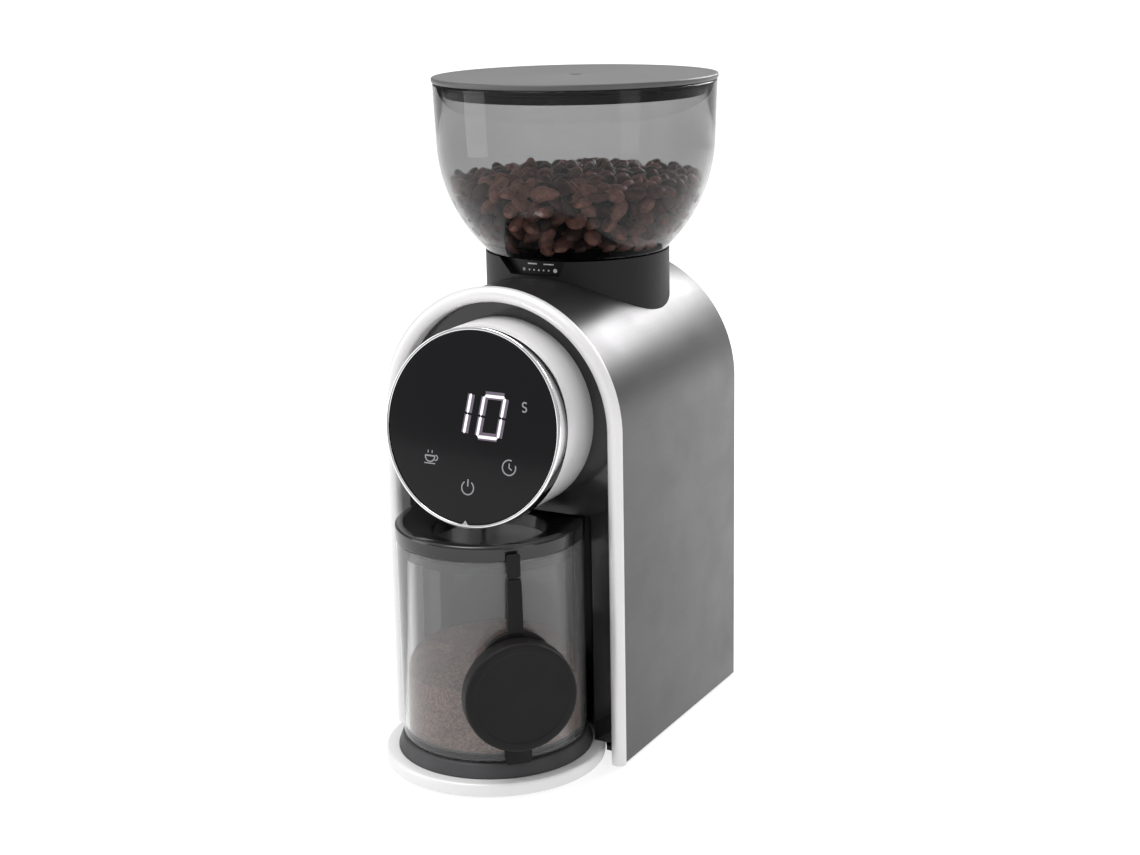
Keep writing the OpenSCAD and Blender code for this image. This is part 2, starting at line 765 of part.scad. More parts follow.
// Beans in the hopper as one simple filling.
module coffee_beans() {
    low_z = neck_end + 7;
    funnel_top = hopper_foot_z + 4.5;
    color([0.2, 0.11, 0.07]) at_burr() rotate_extrude() difference() {
        intersection() {
            translate([0, bean_top + bean_rise - bean_dome_r]) circle(bean_dome_r);
            union() {
                intersection() {
                    bowl_section(hopper_wall + 0.4);
                    translate([0, funnel_top]) square([hopper_r, hopper_h]);
                }
                polygon([[0, low_z], [neck_bore_r - 0.5, low_z], [neck_bore_r - 0.5, hopper_z + 1.3],
                    [bowl_r(funnel_top) - hopper_wall - 1.2, funnel_top + 0.1], [0, funnel_top + 0.1]]);
            }
        }
        translate([-hopper_r, 0]) square([hopper_r, hopper_top]);
    }
}

// ------------------------------------------------------------------ burrs

module burr_chamber() {
    color([0.12, 0.12, 0.125]) at_burr() difference() {
        union() {
            translate([0, 0, chamber_z]) cylinder(r = chamber_r, h = chamber_h);
            translate([0, 0, chamber_z - 5]) cylinder(r = shaft_r + bush_wall + 3, h = 6);
            for (a = chamber_post_az) rotate([0, 0, a])
                translate([chamber_post_reach, 0, gearbox_top + 0.05])
                    cylinder(r = 4.5, h = chamber_z - gearbox_top + 0.5);
        }
        translate([0, 0, chamber_floor]) cylinder(r = sweep_r, h = chamber_h);
        translate([0, 0, chamber_floor + sweep_h]) cylinder(r = chamber_bore_r, h = chamber_h);
        translate([0, 0, chamber_z - 6]) cylinder(r = shaft_r + bush_wall + run_gap, h = 12);
        translate([-chute_w / 2, -chamber_r - cut, chamber_floor + 0.5])
            cube([chute_w, chamber_r, sweep_h - 3]);
        for (a = chamber_post_az) rotate([0, 0, a]) translate([chamber_post_reach, 0, 0])
            cylinder(r = cover_screw_r + 0.05, h = chamber_z + 1);
    }
}

module chamber_screws() {
    color([0.6, 0.6, 0.62]) at_burr() for (a = chamber_post_az) rotate([0, 0, a])
        translate([chamber_post_reach, 0, gearbox_top - cover_t - 0.05]) mirror([0, 0, 1])
            screw(cover_screw_r, cover_t + 9, screw_head_r, 1.4);
}

// Threaded carrier that holds the ring burr and climbs as it is turned.
module burr_carrier() {
    lip_r = ring_burr_r - 2;
    color([0.15, 0.15, 0.155]) at_burr() difference() {
        union() {
            translate([0, 0, carrier_z]) cylinder(r = carrier_r - 0.8, h = carrier_top - carrier_z);
            for (i = [0:5]) translate([0, 0, carrier_z + 3 + 4 * i])
                cylinder(r = carrier_r, h = 2);
        }
        translate([0, 0, carrier_z - cut])
            cylinder(r = ring_burr_r + seat_gap, h = ring_burr_top - carrier_z + cut + 0.1);
        translate([0, 0, ring_burr_top - cut]) cylinder(r = lip_r, h = 4);
        translate([0, 0, ring_burr_top + 2])
            cylinder(r1 = lip_r, r2 = carrier_bore_r, h = 6);
        translate([0, 0, ring_burr_top + 7.9]) cylinder(r = carrier_bore_r, h = chamber_h);
        for (a = [0:90:270]) rotate([0, 0, a])
            translate([lip_r + 4, -finger_w / 2 - slide_gap, setting_ring_z - finger_len - 1])
                cube([chamber_r, finger_w + 2 * slide_gap, chamber_h]);
    }
}

// Ring burr: a steep finishing cone below and an open crushing mouth above.
module ring_burr() {
    finish_r = cone_r - (cone_r - cone_top_r) * (ring_burr_z - cone_z) / cone_h + burr_gap;
    throat_r = finish_r - 1.2;
    color([0.55, 0.55, 0.57]) at_burr(ring_burr_z) difference() {
        cylinder(r = ring_burr_r, h = ring_burr_h);
        translate([0, 0, -cut]) cylinder(r = finish_r, h = cut + 1);
        translate([0, 0, 0.9]) cylinder(r1 = finish_r, r2 = throat_r, h = 5);
        translate([0, 0, 5.8]) cylinder(r1 = throat_r, r2 = finish_r + 2.5, h = ring_burr_h - 5.7);
        for (i = [0:burr_teeth - 1]) rotate([0, 0, 360 * i / burr_teeth])
            translate([throat_r - 1.5, -0.9, 3]) cube([3.4, 1.8, ring_burr_h]);
    }
}

module cone_burr() {
    slope = atan((cone_r - cone_top_r) / cone_h);
    color([0.5, 0.5, 0.52]) at_burr(cone_z) difference() {
        cylinder(r1 = cone_r, r2 = cone_top_r, h = cone_h);
        translate([0, 0, -cut]) cylinder(r = shaft_r + seat_gap / 2, h = cone_h + 2 * cut);
        for (i = [0:burr_teeth - 1]) rotate([0, 0, 360 * i / burr_teeth])
            translate([cone_r - 0.9, 0, 1.5]) rotate([0, -slope, 0]) rotate([20, 0, 0])
                translate([-0.8, -0.8, 0]) cube([4, 1.6, cone_h * 1.3]);
    }
}

// Feeds beans from the neck into the burrs with two sloping blades.
module feed_auger() {
    hub_r = 7;
    color([0.5, 0.5, 0.52]) at_burr(shaft_top + 0.05) difference() {
        union() {
            cylinder(r1 = cone_top_r - 0.5, r2 = hub_r, h = auger_h);
            for (a = [0, 180]) rotate([0, 0, a]) translate([hub_r - 2, -1.5, 1.5])
                rotate([25, 0, 0]) cube([8, 2, 7]);
        }
        translate([0, 0, -cut]) cylinder(r = 2.6, h = auger_h + 2 * cut);
    }
}

module burr_bolt() {
    color([0.65, 0.65, 0.67]) at_burr(shaft_top + auger_h + 0.1) difference() {
        union() {
            cylinder(r = 4.8, h = 3.2, $fn = 6);
            translate([0, 0, -auger_h - 12]) cylinder(r = 2.5, h = auger_h + 12.5);
        }
        translate([0, 0, 2]) cylinder(r = 1.6, h = 2);
    }
}

module impeller() {
    disc_t = 3;
    color([0.75, 0.75, 0.72]) at_burr(impeller_z) difference() {
        union() {
            cylinder(r = impeller_r, h = disc_t);
            cylinder(r = shaft_r + 4, h = cone_z - impeller_z - 0.05);
            for (i = [0:5]) rotate([0, 0, 60 * i]) translate([cone_r + 2, -1, disc_t - 0.1])
                cube([impeller_r - cone_r - 2.5, 2, 8]);
        }
        translate([0, 0, -cut]) cylinder(r = shaft_r + seat_gap / 2, h = 30);
    }
}

module drive_shaft() {
    color([0.7, 0.7, 0.72]) at_burr(output_low - 0.5) difference() {
        cylinder(r = shaft_r, h = shaft_top - output_low + 0.5);
        translate([0, 0, shaft_top - output_low + 0.5 - 14]) cylinder(r = 2.55, h = 20);
    }
}

module shaft_bushes() {
    color([0.72, 0.55, 0.25]) at_burr() for (z = [gearbox_top - cover_t - 0.5, chamber_z - 4.5])
        translate([0, 0, z]) tube(shaft_r + bush_wall, shaft_r + run_gap, bush_len);
}

// ---------------------------------------------------------------- gearbox

// Outline round both gear axes, drawn in X and Y.
module gearbox_outline(grow) {
    r = gearbox_r + grow;
    translate([0, burr_y]) circle(r);
    translate([idler_x, idler_y]) circle(r);
    translate([0, burr_y]) rotate(idler_az) translate([0, -r]) square([gear_centres, 2 * r]);
}

gear_screw_spots = [for (a = [idler_az + 90, idler_az + 180, idler_az + 270])
        [(gearbox_r + 4.5) * cos(a), burr_y + (gearbox_r + 4.5) * sin(a)],
    for (a = [idler_az - 60, idler_az + 20])
        [idler_x + (gearbox_r + 4.5) * cos(a), idler_y + (gearbox_r + 4.5) * sin(a)]];

module gearbox_base() {
    color([0.1, 0.1, 0.105]) difference() {
        union() {
            translate([0, 0, gearbox_z]) linear_extrude(gearbox_h - cover_t) gearbox_outline(gearbox_wall);
            for (p = gear_screw_spots) translate([p[0], p[1], gearbox_z])
                cylinder(r = 4, h = gearbox_h - cover_t);
            at_burr(gearbox_z) for (a = mount_az) rotate([0, 0, a]) {
                translate([mount_reach, 0, 0]) cylinder(r = gear_ear_r, h = 4);
                translate([20, -4, 0]) cube([mount_reach - 20, 8, 4]);
            }
        }
        translate([0, 0, gear_floor]) linear_extrude(gearbox_h) gearbox_outline(0);
        at_burr(gearbox_z - cut) cylinder(r = motor_shaft_r + 5, h = 10);
        at_idler(gearbox_z - cut) cylinder(r = idler_pin_r + seat_gap / 2, h = 10);
        for (p = gear_screw_spots) translate([p[0], p[1], gearbox_top - 16]) cylinder(r = 1.55, h = 20);
        at_burr(gearbox_z - cut) for (a = mount_az) rotate([0, 0, a])
            translate([mount_reach, 0, 0]) cylinder(r = 3 + seat_gap, h = 10);
    }
}

module gearbox_cover() {
    low = gearbox_top - cover_t;
    color([0.14, 0.14, 0.145]) difference() {
        union() {
            translate([0, 0, low]) linear_extrude(cover_t) gearbox_outline(gearbox_wall);
            for (p = gear_screw_spots) translate([p[0], p[1], low]) cylinder(r = 4, h = cover_t);
            at_burr(low) cylinder(r = shaft_r + bush_wall + 3, h = cover_t + 2.5);
        }
        at_burr(low - cut) cylinder(r = shaft_r + bush_wall + run_gap, h = 20);
        at_idler(low - cut) cylinder(r = idler_pin_r + seat_gap / 2, h = 10);
        for (p = gear_screw_spots) translate([p[0], p[1], low - cut]) cylinder(r = 1.8, h = 10);
        at_burr(low - cut) for (a = chamber_post_az) rotate([0, 0, a])
            translate([chamber_post_reach, 0, 0]) cylinder(r = cover_screw_r + 0.2, h = 10);
    }
}

module gearbox_screws() {
    color([0.6, 0.6, 0.62]) for (p = gear_screw_spots)
        translate([p[0], p[1], gearbox_top + 0.02]) screw(1.5, 14);
}

module output_gear() {
    color([0.8, 0.8, 0.76]) at_burr(output_low)
        gear(output_z, gear_m, output_face, shaft_r + seat_gap / 2, idler_az + 180 / output_z);
}

module idler_gear() {
    color([0.82, 0.8, 0.72]) at_idler(wheel_low) {
        gear(wheel_z, gear_m, wheel_face, idler_pin_r + run_gap, idler_az + 180 + 180 / wheel_z);
        translate([0, 0, wheel_face - 0.1])
            gear(idler_z, gear_m, output_face + 4, idler_pin_r + run_gap, idler_az + 180);
    }
}

module idler_pin() {
    color([0.7, 0.7, 0.72]) at_idler(gearbox_z + 0.2) cylinder(r = idler_pin_r, h = gearbox_h - 0.6);
}

// ------------------------------------------------------------------ motor

module motor_can() {
    color([0.45, 0.45, 0.47]) at_burr(motor_z) difference() {
        cylinder(r = motor_r, h = motor_len - 0.05);
        translate([0, 0, -cut]) cylinder(r = motor_r - motor_wall, h = motor_len - motor_wall + cut);
        cylinder(r = motor_shaft_r + 2, h = motor_len + cut);
        for (a = [0:60:300]) rotate([0, 0, a]) translate([motor_r - 5, -3, motor_len - 14])
            cube([10, 6, 7]);
    }
}

module motor_end_cap() {
    color([0.1, 0.1, 0.1]) at_burr(motor_z - 6) difference() {
        union() {
            cylinder(r = motor_r, h = 5.95);
            cylinder(r = motor_r - motor_wall - seat_gap, h = 10);
            for (a = [0, 180]) rotate([0, 0, a]) translate([13, -4, -4]) cube([8, 8, 5]);
        }
        translate([0, 0, 5]) cylinder(r = motor_r - motor_wall - 3, h = 10);
        translate([0, 0, 1.5]) cylinder(r = motor_shaft_r + run_gap, h = 10);
    }
}

// Armature: shaft, commutator and a slotted core.
module motor_rotor() {
    core_r = motor_r - motor_wall - 5;
    color([0.6, 0.35, 0.2]) at_burr() {
        translate([0, 0, motor_z - 4]) cylinder(r = motor_shaft_r, h = wheel_low + wheel_face + 5 - motor_z);
        translate([0, 0, motor_z + 4]) cylinder(r = 7, h = 9);
        difference() {
            translate([0, 0, motor_z + 16]) cylinder(r = core_r, h = motor_len - 34);
            for (i = [0:11]) rotate([0, 0, 30 * i]) translate([core_r - 5, -1.2, motor_z])
                cube([8, 2.4, motor_len]);
        }
    }
}

module motor_pinion() {
    color([0.72, 0.6, 0.3]) at_burr(wheel_low - 0.5)
        gear(pinion_z, gear_m, wheel_face + 1.5, motor_shaft_r + seat_gap / 2, idler_az);
}

// Soft bushes that hold the gearbox on the deck.
module motor_mounts() {
    color([0.05, 0.05, 0.05]) at_burr() for (a = mount_az) rotate([0, 0, a])
        translate([mount_reach, 0, 0]) {
            translate([0, 0, deck_z + deck_t]) cylinder(r = mount_r, h = gearbox_z - deck_z - deck_t);
            translate([0, 0, deck_z - 1]) cylinder(r = 3, h = gearbox_z - deck_z + 6);
            translate([0, 0, gearbox_z + 4]) cylinder(r = 4.5, h = 1.5);
            translate([0, 0, deck_z - 2]) cylinder(r = 4.5, h = 1.95);
        }
}

// ----------------------------------------------------------- electronics

board_x = -(inside_r - 11);

module control_board() {
    board_y = burr_y - 22;
    color([0.05, 0.3, 0.15]) translate([board_x, board_y, 20]) {
        cube([1.6, 40, 66]);
        translate([1.5, 6, 44]) cube([12, 16, 14]);
        translate([1.5, 26, 10]) rotate([0, 90, 0]) cylinder(r = 5, h = 9);
        translate([1.5, 6, 8]) cube([9, 12, 24]);
        translate([-4, 3, 3]) cube([4.1, 4, 4]);
        translate([-4, 33, 59]) cube([4.1, 4, 4]);
    }
}

// Insulated wire from one point to another, as an eight-sided rod.
module wire(a, b, r = 1.1) {
    d = b - a;
    translate(a) rotate([0, acos(d[2] / norm(d)), atan2(d[1], d[0])]) translate([0, 0, -r / 2])
        cylinder(r = r, h = norm(d) + r, $fn = 8);
}

module wire_harness() {
    gland_in = [-cord_r - 4.5, cover_y - gland_len - 2, gland_z];
    corner = [board_x + 16, burr_y + 30, gland_z];
    board_in = [board_x + 11.75, burr_y - 10, gland_z + 12];
    motor_in = [-17, burr_y, motor_z - 13.2];
    tab_in = [-17, burr_y, motor_z - 10.8];
    color([0.7, 0.12, 0.1]) {
        wire(gland_in, corner);
        wire(corner, board_in);
        wire(board_in, motor_in);
        wire(motor_in, tab_in);
    }
}

// Microswitch beside the chamber that senses the hopper.
module interlock_switch() {
    color([0.08, 0.08, 0.09]) at_burr() {
        translate([chamber_r + 0.1, -10, collar_top - spigot_len - 22]) cube([6.4, 20, 12]);
        translate([chamber_r + 1.5, -7, collar_top - spigot_len - 10.1]) cube([3, 14, 0.8]);
        translate([chamber_r + 1.5, 5.5, collar_top - spigot_len - 10.1]) cube([3, 1, 4]);
    }
}

// ------------------------------------------------------------------ chute

// Side outline of the chute, drawn in Y and Z and shrunk by t.
module chute_outline(t) {
    start_z = chamber_floor + 0.5;
    half = chute_w / 2;
    out_z = drum_bottom + 0.5;
    polygon([[burr_y - 30, start_z + sweep_h - 1 - t], [burr_y - chamber_r - 2, start_z + sweep_h - 1 - t],
        [jar_y - half + t, out_z + 12], [jar_y - half + t, out_z - cut * t],
        [jar_y + half - t, out_z - cut * t], [jar_y + half - t, out_z + 7],
        [burr_y - chamber_r - 2, start_z - 2 + t], [burr_y - 30, start_z - 2 + t]]);
}

module grounds_chute() {
    color([0.13, 0.13, 0.135]) difference() {
        across_x(chute_w + 2 * chute_wall) chute_outline(0);
        across_x(chute_w) chute_outline(chute_wall);
        at_burr(0) cylinder(r = chamber_r + seat_gap, h = body_h);
    }
}

// -------------------------------------------------------------------- jar

module grounds_jar() {
    color([0.6, 0.6, 0.62, 0.4]) at_jar(platform_top) difference() {
        union() {
            translate([0, 0, 1]) cylinder(r = jar_r, h = jar_top - platform_top - 1);
            cylinder(r1 = jar_r - 1, r2 = jar_r, h = 1);
        }
        translate([0, 0, jar_floor]) cylinder(r = jar_bore_r, h = jar_top);
    }
}

module jar_lid() {
    skirt_r = jar_bore_r - 0.5;
    color([0.03, 0.03, 0.035]) {
        at_jar() rotate_extrude() polygon([
            [plug_hole_r, lid_seat - 4], [plug_hole_r + 2, lid_seat - 4], [plug_hole_r + 2, lid_seat],
            [skirt_r - 2, lid_seat], [skirt_r - 2, lid_seat - 7], [skirt_r - 1.2, lid_seat - 7],
            [skirt_r - 1.2, lid_seat - 2], [skirt_r, lid_seat - 2], [skirt_r, lid_seat],
            [jar_lid_r, lid_seat], [jar_lid_r, lid_top - 1], [jar_lid_r - 1, lid_top],
            [jar_lid_r - 3, lid_top], [plug_hole_r + 1, lid_top - 4], [plug_hole_r, lid_top - 5]]);
        at_stopper() translate([-strap_w / 2 - 1, -jar_lid_r - 0.9, lid_top - 2.8])
            cube([strap_w + 2, 3, 2]);
    }
}

module jar_lid_gasket() {
    gasket_r = jar_bore_r - 0.3;
    color([0.02, 0.02, 0.02]) at_jar(lid_seat - 6.5)
        tube(gasket_r, jar_bore_r - 0.5 - 1.2 + 0.1, 4);
}

module strap_link() {
    r = strap_t / 2;
    end_gap = 0.4;
    color([0.03, 0.03, 0.03]) at_stopper() {
        for (z = [fold_z, second_fold_z + 2 * r + end_gap]) translate([0, strap_y, z])
            rotate([0, 90, 0]) cylinder(r = r, h = strap_w, center = true);
        translate([-strap_w / 2, strap_y - r, second_fold_z + 2 * r + end_gap])
            cube([strap_w, strap_t, strap_link_len - 2 * r - end_gap]);
    }
}

// Plug on its strap, with a plate behind it and a tab to pull.
module stopper() {
    r = strap_t / 2;
    color([0.03, 0.03, 0.03]) at_stopper() {
        translate([0, strap_y, second_fold_z]) rotate([0, 90, 0])
            cylinder(r = r, h = strap_w, center = true);
        along_y(strap_y - r, strap_y + r) {
            polygon([[-strap_w / 2, second_fold_z], [strap_w / 2, second_fold_z],
                [strap_low_w / 2, plug_z], [-strap_low_w / 2, plug_z]]);
            translate([0, plug_z + backplate_up]) circle(backplate_r);
            translate([-tab_w / 2, tab_end_z]) square([tab_w, plug_z - tab_end_z]);
        }
        translate([0, strap_y - r + 0.1, plug_z]) rotate([90, 0, 0]) {
            cylinder(r = plug_r, h = plug_len - r - plug_chamfer + 0.1);
            translate([0, 0, plug_len - r - plug_chamfer + 0.1])
                cylinder(r1 = plug_r, r2 = plug_r - plug_chamfer, h = plug_chamfer);
        }
    }
}

module ground_coffee() {
    h = grounds_level - jar_floor;
    color([0.3, 0.2, 0.15]) at_jar(jar_inside_z + 0.05) {
        cylinder(r = jar_bore_r - 0.2, h = h);
        translate([0, 0, h - 0.1]) cylinder(r1 = jar_bore_r - 0.2, r2 = 8, h = 4);
    }
}

// --------------------------------------------------------------- assembly

body_shell();
front_bezel();
front_panel();
back_cover();
base_pan();
base_dish();
jar_platform();
rubber_feet();
base_screws();
back_screws();
cord_gland();
chassis();
control_drum();
display_glass();
display_board();
dial_ring();
collar();
setting_ring();
hopper_bowl();
hopper_lid();
hopper_lid_seal();
coffee_beans();
burr_chamber();
chamber_screws();
burr_carrier();
ring_burr();
cone_burr();
feed_auger();
burr_bolt();
impeller();
drive_shaft();
shaft_bushes();
gearbox_base();
gearbox_cover();
gearbox_screws();
output_gear();
idler_gear();
idler_pin();
motor_can();
motor_end_cap();
motor_rotor();
motor_pinion();
motor_mounts();
control_board();
wire_harness();
interlock_switch();
grounds_chute();
grounds_jar();
jar_lid();
jar_lid_gasket();
strap_link();
stopper();
ground_coffee();
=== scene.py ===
"""Looks of the burr coffee grinder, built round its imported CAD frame."""

import json
import math
import random

import bmesh
import bpy
import numpy as np
from mathutils import Matrix, Vector


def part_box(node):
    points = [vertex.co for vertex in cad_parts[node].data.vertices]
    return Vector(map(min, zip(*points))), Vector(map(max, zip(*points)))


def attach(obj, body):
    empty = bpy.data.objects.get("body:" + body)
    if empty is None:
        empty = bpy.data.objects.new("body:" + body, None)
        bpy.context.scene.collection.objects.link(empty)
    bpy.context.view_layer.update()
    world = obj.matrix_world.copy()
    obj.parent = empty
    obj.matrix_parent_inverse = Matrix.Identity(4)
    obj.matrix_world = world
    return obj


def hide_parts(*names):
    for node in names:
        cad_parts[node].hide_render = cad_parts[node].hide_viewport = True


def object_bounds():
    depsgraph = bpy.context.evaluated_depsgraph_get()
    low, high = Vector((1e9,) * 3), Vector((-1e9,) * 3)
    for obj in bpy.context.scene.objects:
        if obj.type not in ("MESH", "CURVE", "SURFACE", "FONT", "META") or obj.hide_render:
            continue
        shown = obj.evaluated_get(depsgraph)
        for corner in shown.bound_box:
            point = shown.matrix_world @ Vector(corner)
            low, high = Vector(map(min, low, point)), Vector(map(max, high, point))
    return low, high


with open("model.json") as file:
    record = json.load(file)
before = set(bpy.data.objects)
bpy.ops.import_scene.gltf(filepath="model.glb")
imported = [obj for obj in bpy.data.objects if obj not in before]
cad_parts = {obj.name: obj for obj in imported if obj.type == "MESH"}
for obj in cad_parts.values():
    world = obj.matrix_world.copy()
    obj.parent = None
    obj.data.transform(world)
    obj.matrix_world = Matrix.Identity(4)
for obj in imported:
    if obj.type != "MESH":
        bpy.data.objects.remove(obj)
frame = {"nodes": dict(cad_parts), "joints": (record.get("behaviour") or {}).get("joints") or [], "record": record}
cad_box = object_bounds()

MM = 0.001
FINE = 2


# ---------------------------------------------------------------- the frame

def centre(node):
    """Middle of a node's box."""
    low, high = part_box(node)
    return (low + high) / 2


def radius(node):
    """Radius of an upright round node."""
    low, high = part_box(node)
    return (high.x - low.x) / 2


def joint(name):
    """A joint of the frame, by name."""
    return next(j for j in frame["joints"] if j["name"] == name)


JAR_AXIS = centre("grounds_jar")
HOPPER_AXIS = centre("hopper_lid")
FACE = Vector(joint("dial_turn")["pos_m"])
FACE_OUT = Vector(joint("dial_turn")["axis"]).normalized()
FACE_UP = Vector((1, 0, 0)).cross(-FACE_OUT).normalized()


def face_matrix(lift=0.0):
    """Frame on the middle of the display: X to the right, Y up the glass, Z out of it."""
    out = FACE_OUT * lift
    return Matrix.Translation(FACE + out) @ Matrix((
        (1, FACE_UP.x, FACE_OUT.x, 0),
        (0, FACE_UP.y, FACE_OUT.y, 0),
        (0, FACE_UP.z, FACE_OUT.z, 0),
        (0, 0, 0, 1)))


def stopper_matrix():
    """Frame on the jar's axis at z = 0, with -Y pointing to the stopper."""
    axis = Vector(joint("strap_fold")["axis"])
    turn = math.atan2(-axis.y, -axis.x)
    return Matrix.Translation((JAR_AXIS.x, JAR_AXIS.y, 0)) @ Matrix.Rotation(turn, 4, "Z")


SEAM_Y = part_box("body_shell")[0].y / MM
COLLAR_HOLE = 43.9
LID_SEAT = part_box("grounds_jar")[1].z / MM + 0.2
STRAP_T = 2.4
STRAP_HALF, ROOT_HALF, TAB_HALF = 3.25, 4.25, 6.25
HOPPER_R = 70.0
HOPPER_WALL = 2.4
HOPPER_TAPER = 1.0
HOPPER_STRAIGHT = 27.0
BELLY_R = 75.0
BEAN_ROOM = 4.2
DOME_FALL = 1270
HOPPER_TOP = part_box("hopper_bowl")[1].z / MM
HOPPER_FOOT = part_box("collar")[1].z / MM + 0.5


def radius_of_lid():
    """Radius of the jar's lid without the strap's root."""
    return radius("grounds_jar") + 0.6 * MM


def strap_out(node):
    """How far out the strap's inner face lies, in the stopper's frame, in millimetres."""
    place = stopper_matrix().inverted()
    return max((place @ v.co).y for v in frame["nodes"][node].data.vertices) / MM


# ------------------------------------------------------------------- shapes

def arc(cx, cy, r, start, end, steps=8):
    """Points on an arc, with angles in degrees."""
    return [(cx + r * math.cos(math.radians(a)), cy + r * math.sin(math.radians(a)))
            for a in np.linspace(start, end, steps)]


def rounded(corners, steps=5):
    """Closed outline with its corners rounded. Each corner is (x, y, radius)."""
    points = []
    count = len(corners)
    for i, (x, y, r) in enumerate(corners):
        here = Vector((x, y))
        before = Vector(corners[i - 1][:2]) - here
        after = Vector(corners[(i + 1) % count][:2]) - here
        if r <= 0:
            points.append((x, y))
            continue
        a, b = before.normalized(), after.normalized()
        half = a.angle(b) / 2
        reach = min(r / math.tan(half), before.length * 0.49, after.length * 0.49)
        p0, p1 = here + a * reach, here + b * reach
        for t in np.linspace(0, 1, steps):
            q = p0.lerp(here, t).lerp(here.lerp(p1, t), t)
            points.append((q.x, q.y))
    return points


def make(name, verts, faces, crease=35):
    """Mesh object whose faces shade smoothly except across creases."""
    mesh = bpy.data.meshes.new(name)
    mesh.from_pydata([tuple(v) for v in verts], [], faces)
    mesh.validate()
    mesh.shade_smooth()
    mesh.set_sharp_from_angle(angle=math.radians(crease))
    obj = bpy.data.objects.new(name, mesh)
    bpy.context.scene.collection.objects.link(obj)
    return obj


def face_outwards(obj):
    """Turns the faces of a closed mesh outwards."""
    work = bmesh.new()
    work.from_mesh(obj.data)
    bmesh.ops.remove_doubles(work, verts=work.verts, dist=1e-7)
    bmesh.ops.recalc_face_normals(work, faces=work.faces)
    work.to_mesh(obj.data)
    work.free()
    return obj


def lathe_on(name, outline, place, sides=144, crease=35):
    """Solid of revolution about the Z axis of a matrix. The outline is closed, in (radius, height)."""
    verts, faces = [], []
    count = len(outline)
    for i in range(sides):
        a = 2 * math.pi * i / sides
        verts += [place @ (Vector((r * math.cos(a), r * math.sin(a), z)) * MM) for r, z in outline]
    for i in range(sides):
        j = (i + 1) % sides
        for k in range(count):
            m = (k + 1) % count
            on_axis = outline[k][0] < 1e-6, outline[m][0] < 1e-6
            if all(on_axis):
                continue
            ring = [(i, k), (j, k), (j, m), (i, m)]
            if on_axis[0]:
                ring = [(i, k), (j, m), (i, m)]
            elif on_axis[1]:
                ring = [(i, k), (j, k), (i, m)]
            faces.append([side * count + at for side, at in ring])
    return face_outwards(make(name, verts, faces, crease))


def lathe(name, outline, axis, sides=144, crease=35):
    """Solid of revolution about an upright axis, with heights from the ground."""
    return lathe_on(name, outline, Matrix.Translation((axis.x, axis.y, 0)), sides * FINE // 2, crease)


def arch_sweep(name, section):
    """Sweeps a closed section round the body's arch. The section is in (distance from its centre, y)."""
    half = 64 * FINE
    low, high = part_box("body_shell")
    arch_z = high.z / MM - high.x / MM
    foot = low.z / MM
    turns = [math.pi * i / half for i in range(half + 1)]
    rings = [[(d, y, foot) for d, y in section]]
    rings += [[(d * math.cos(a), y, arch_z + d * math.sin(a)) for d, y in section] for a in turns]
    rings += [[(-d, y, foot) for d, y in section]]
    count = len(section)
    verts = [Vector(v) * MM for ring in rings for v in ring]
    faces = []
    for i in range(len(rings) - 1):
        here, there = i * count, (i + 1) * count
        for k in range(count):
            m = (k + 1) % count
            faces.append([here + k, here + m, there + m, there + k])
    faces += [list(range(count)), [len(verts) - 1 - k for k in range(count)]]
    return face_outwards(make(name, verts, faces))


def slab(name, low, high, edge=0.0, place=None):
    """Block between two corners, with rounded edges."""
    (x0, y0, z0), (x1, y1, z1) = low, high
    place = place or Matrix.Identity(4)
    outline = [(x0, y0), (x1, y0), (x1, y1), (x0, y1)]
    return prism(name, outline, z1 - z0, place @ Matrix.Translation((0, 0, z1 * MM)), edge)


def join(name, *parts):
    """One object from several. Their modifiers are applied first."""
    graph = bpy.context.evaluated_depsgraph_get()
    joined = bmesh.new()
    for part in parts:
        joined.from_mesh(part.evaluated_get(graph).to_mesh())
    mesh = bpy.data.meshes.new(name)
    joined.to_mesh(mesh)
    joined.free()
    for part in parts:
        bpy.data.objects.remove(part)
    mesh.shade_smooth()
    mesh.set_sharp_from_angle(angle=math.radians(35))
    obj = bpy.data.objects.new(name, mesh)
    bpy.context.scene.collection.objects.link(obj)
    return obj


def carve(obj, cutter):
    """Cuts one solid out of another and removes the cutter."""
    cut = obj.modifiers.new("cut", "BOOLEAN")
    cut.object = cutter
    cut.solver = "EXACT"
    bpy.context.view_layer.update()
    graph = bpy.context.evaluated_depsgraph_get()
    mesh = bpy.data.meshes.new_from_object(obj.evaluated_get(graph))
    obj.modifiers.clear()
    obj.data = mesh
    bpy.data.objects.remove(cutter)
    mesh.shade_smooth()
    mesh.set_sharp_from_angle(angle=math.radians(35))


def prism(name, outline, depth, matrix, bevel=0.0, crease=35):
    """Outline in X and Y, extruded along -Z by depth and placed by a matrix, in millimetres."""
    count = len(outline)
    verts = [Vector((x, y, z)) for z in (0, -depth) for x, y in outline]
    faces = [list(range(count)), list(range(2 * count - 1, count - 1, -1))]
    faces += [[i, i + count, (i + 1) % count + count, (i + 1) % count] for i in range(count)]
    obj = face_outwards(make(name, [matrix @ (v * MM) for v in verts], faces, crease))
    if bevel:
        soften(obj, bevel * MM)
    return obj


def soften(obj, width, segments=3, angle=30):
    """Rounds the edges of an object."""
    bevel = obj.modifiers.new("edges", "BEVEL")
    bevel.width = width
    bevel.segments = segments
    bevel.limit_method = "ANGLE"
    bevel.angle_limit = math.radians(angle)
    bevel.harden_normals = True
    return obj


# ---------------------------------------------------------------- materials

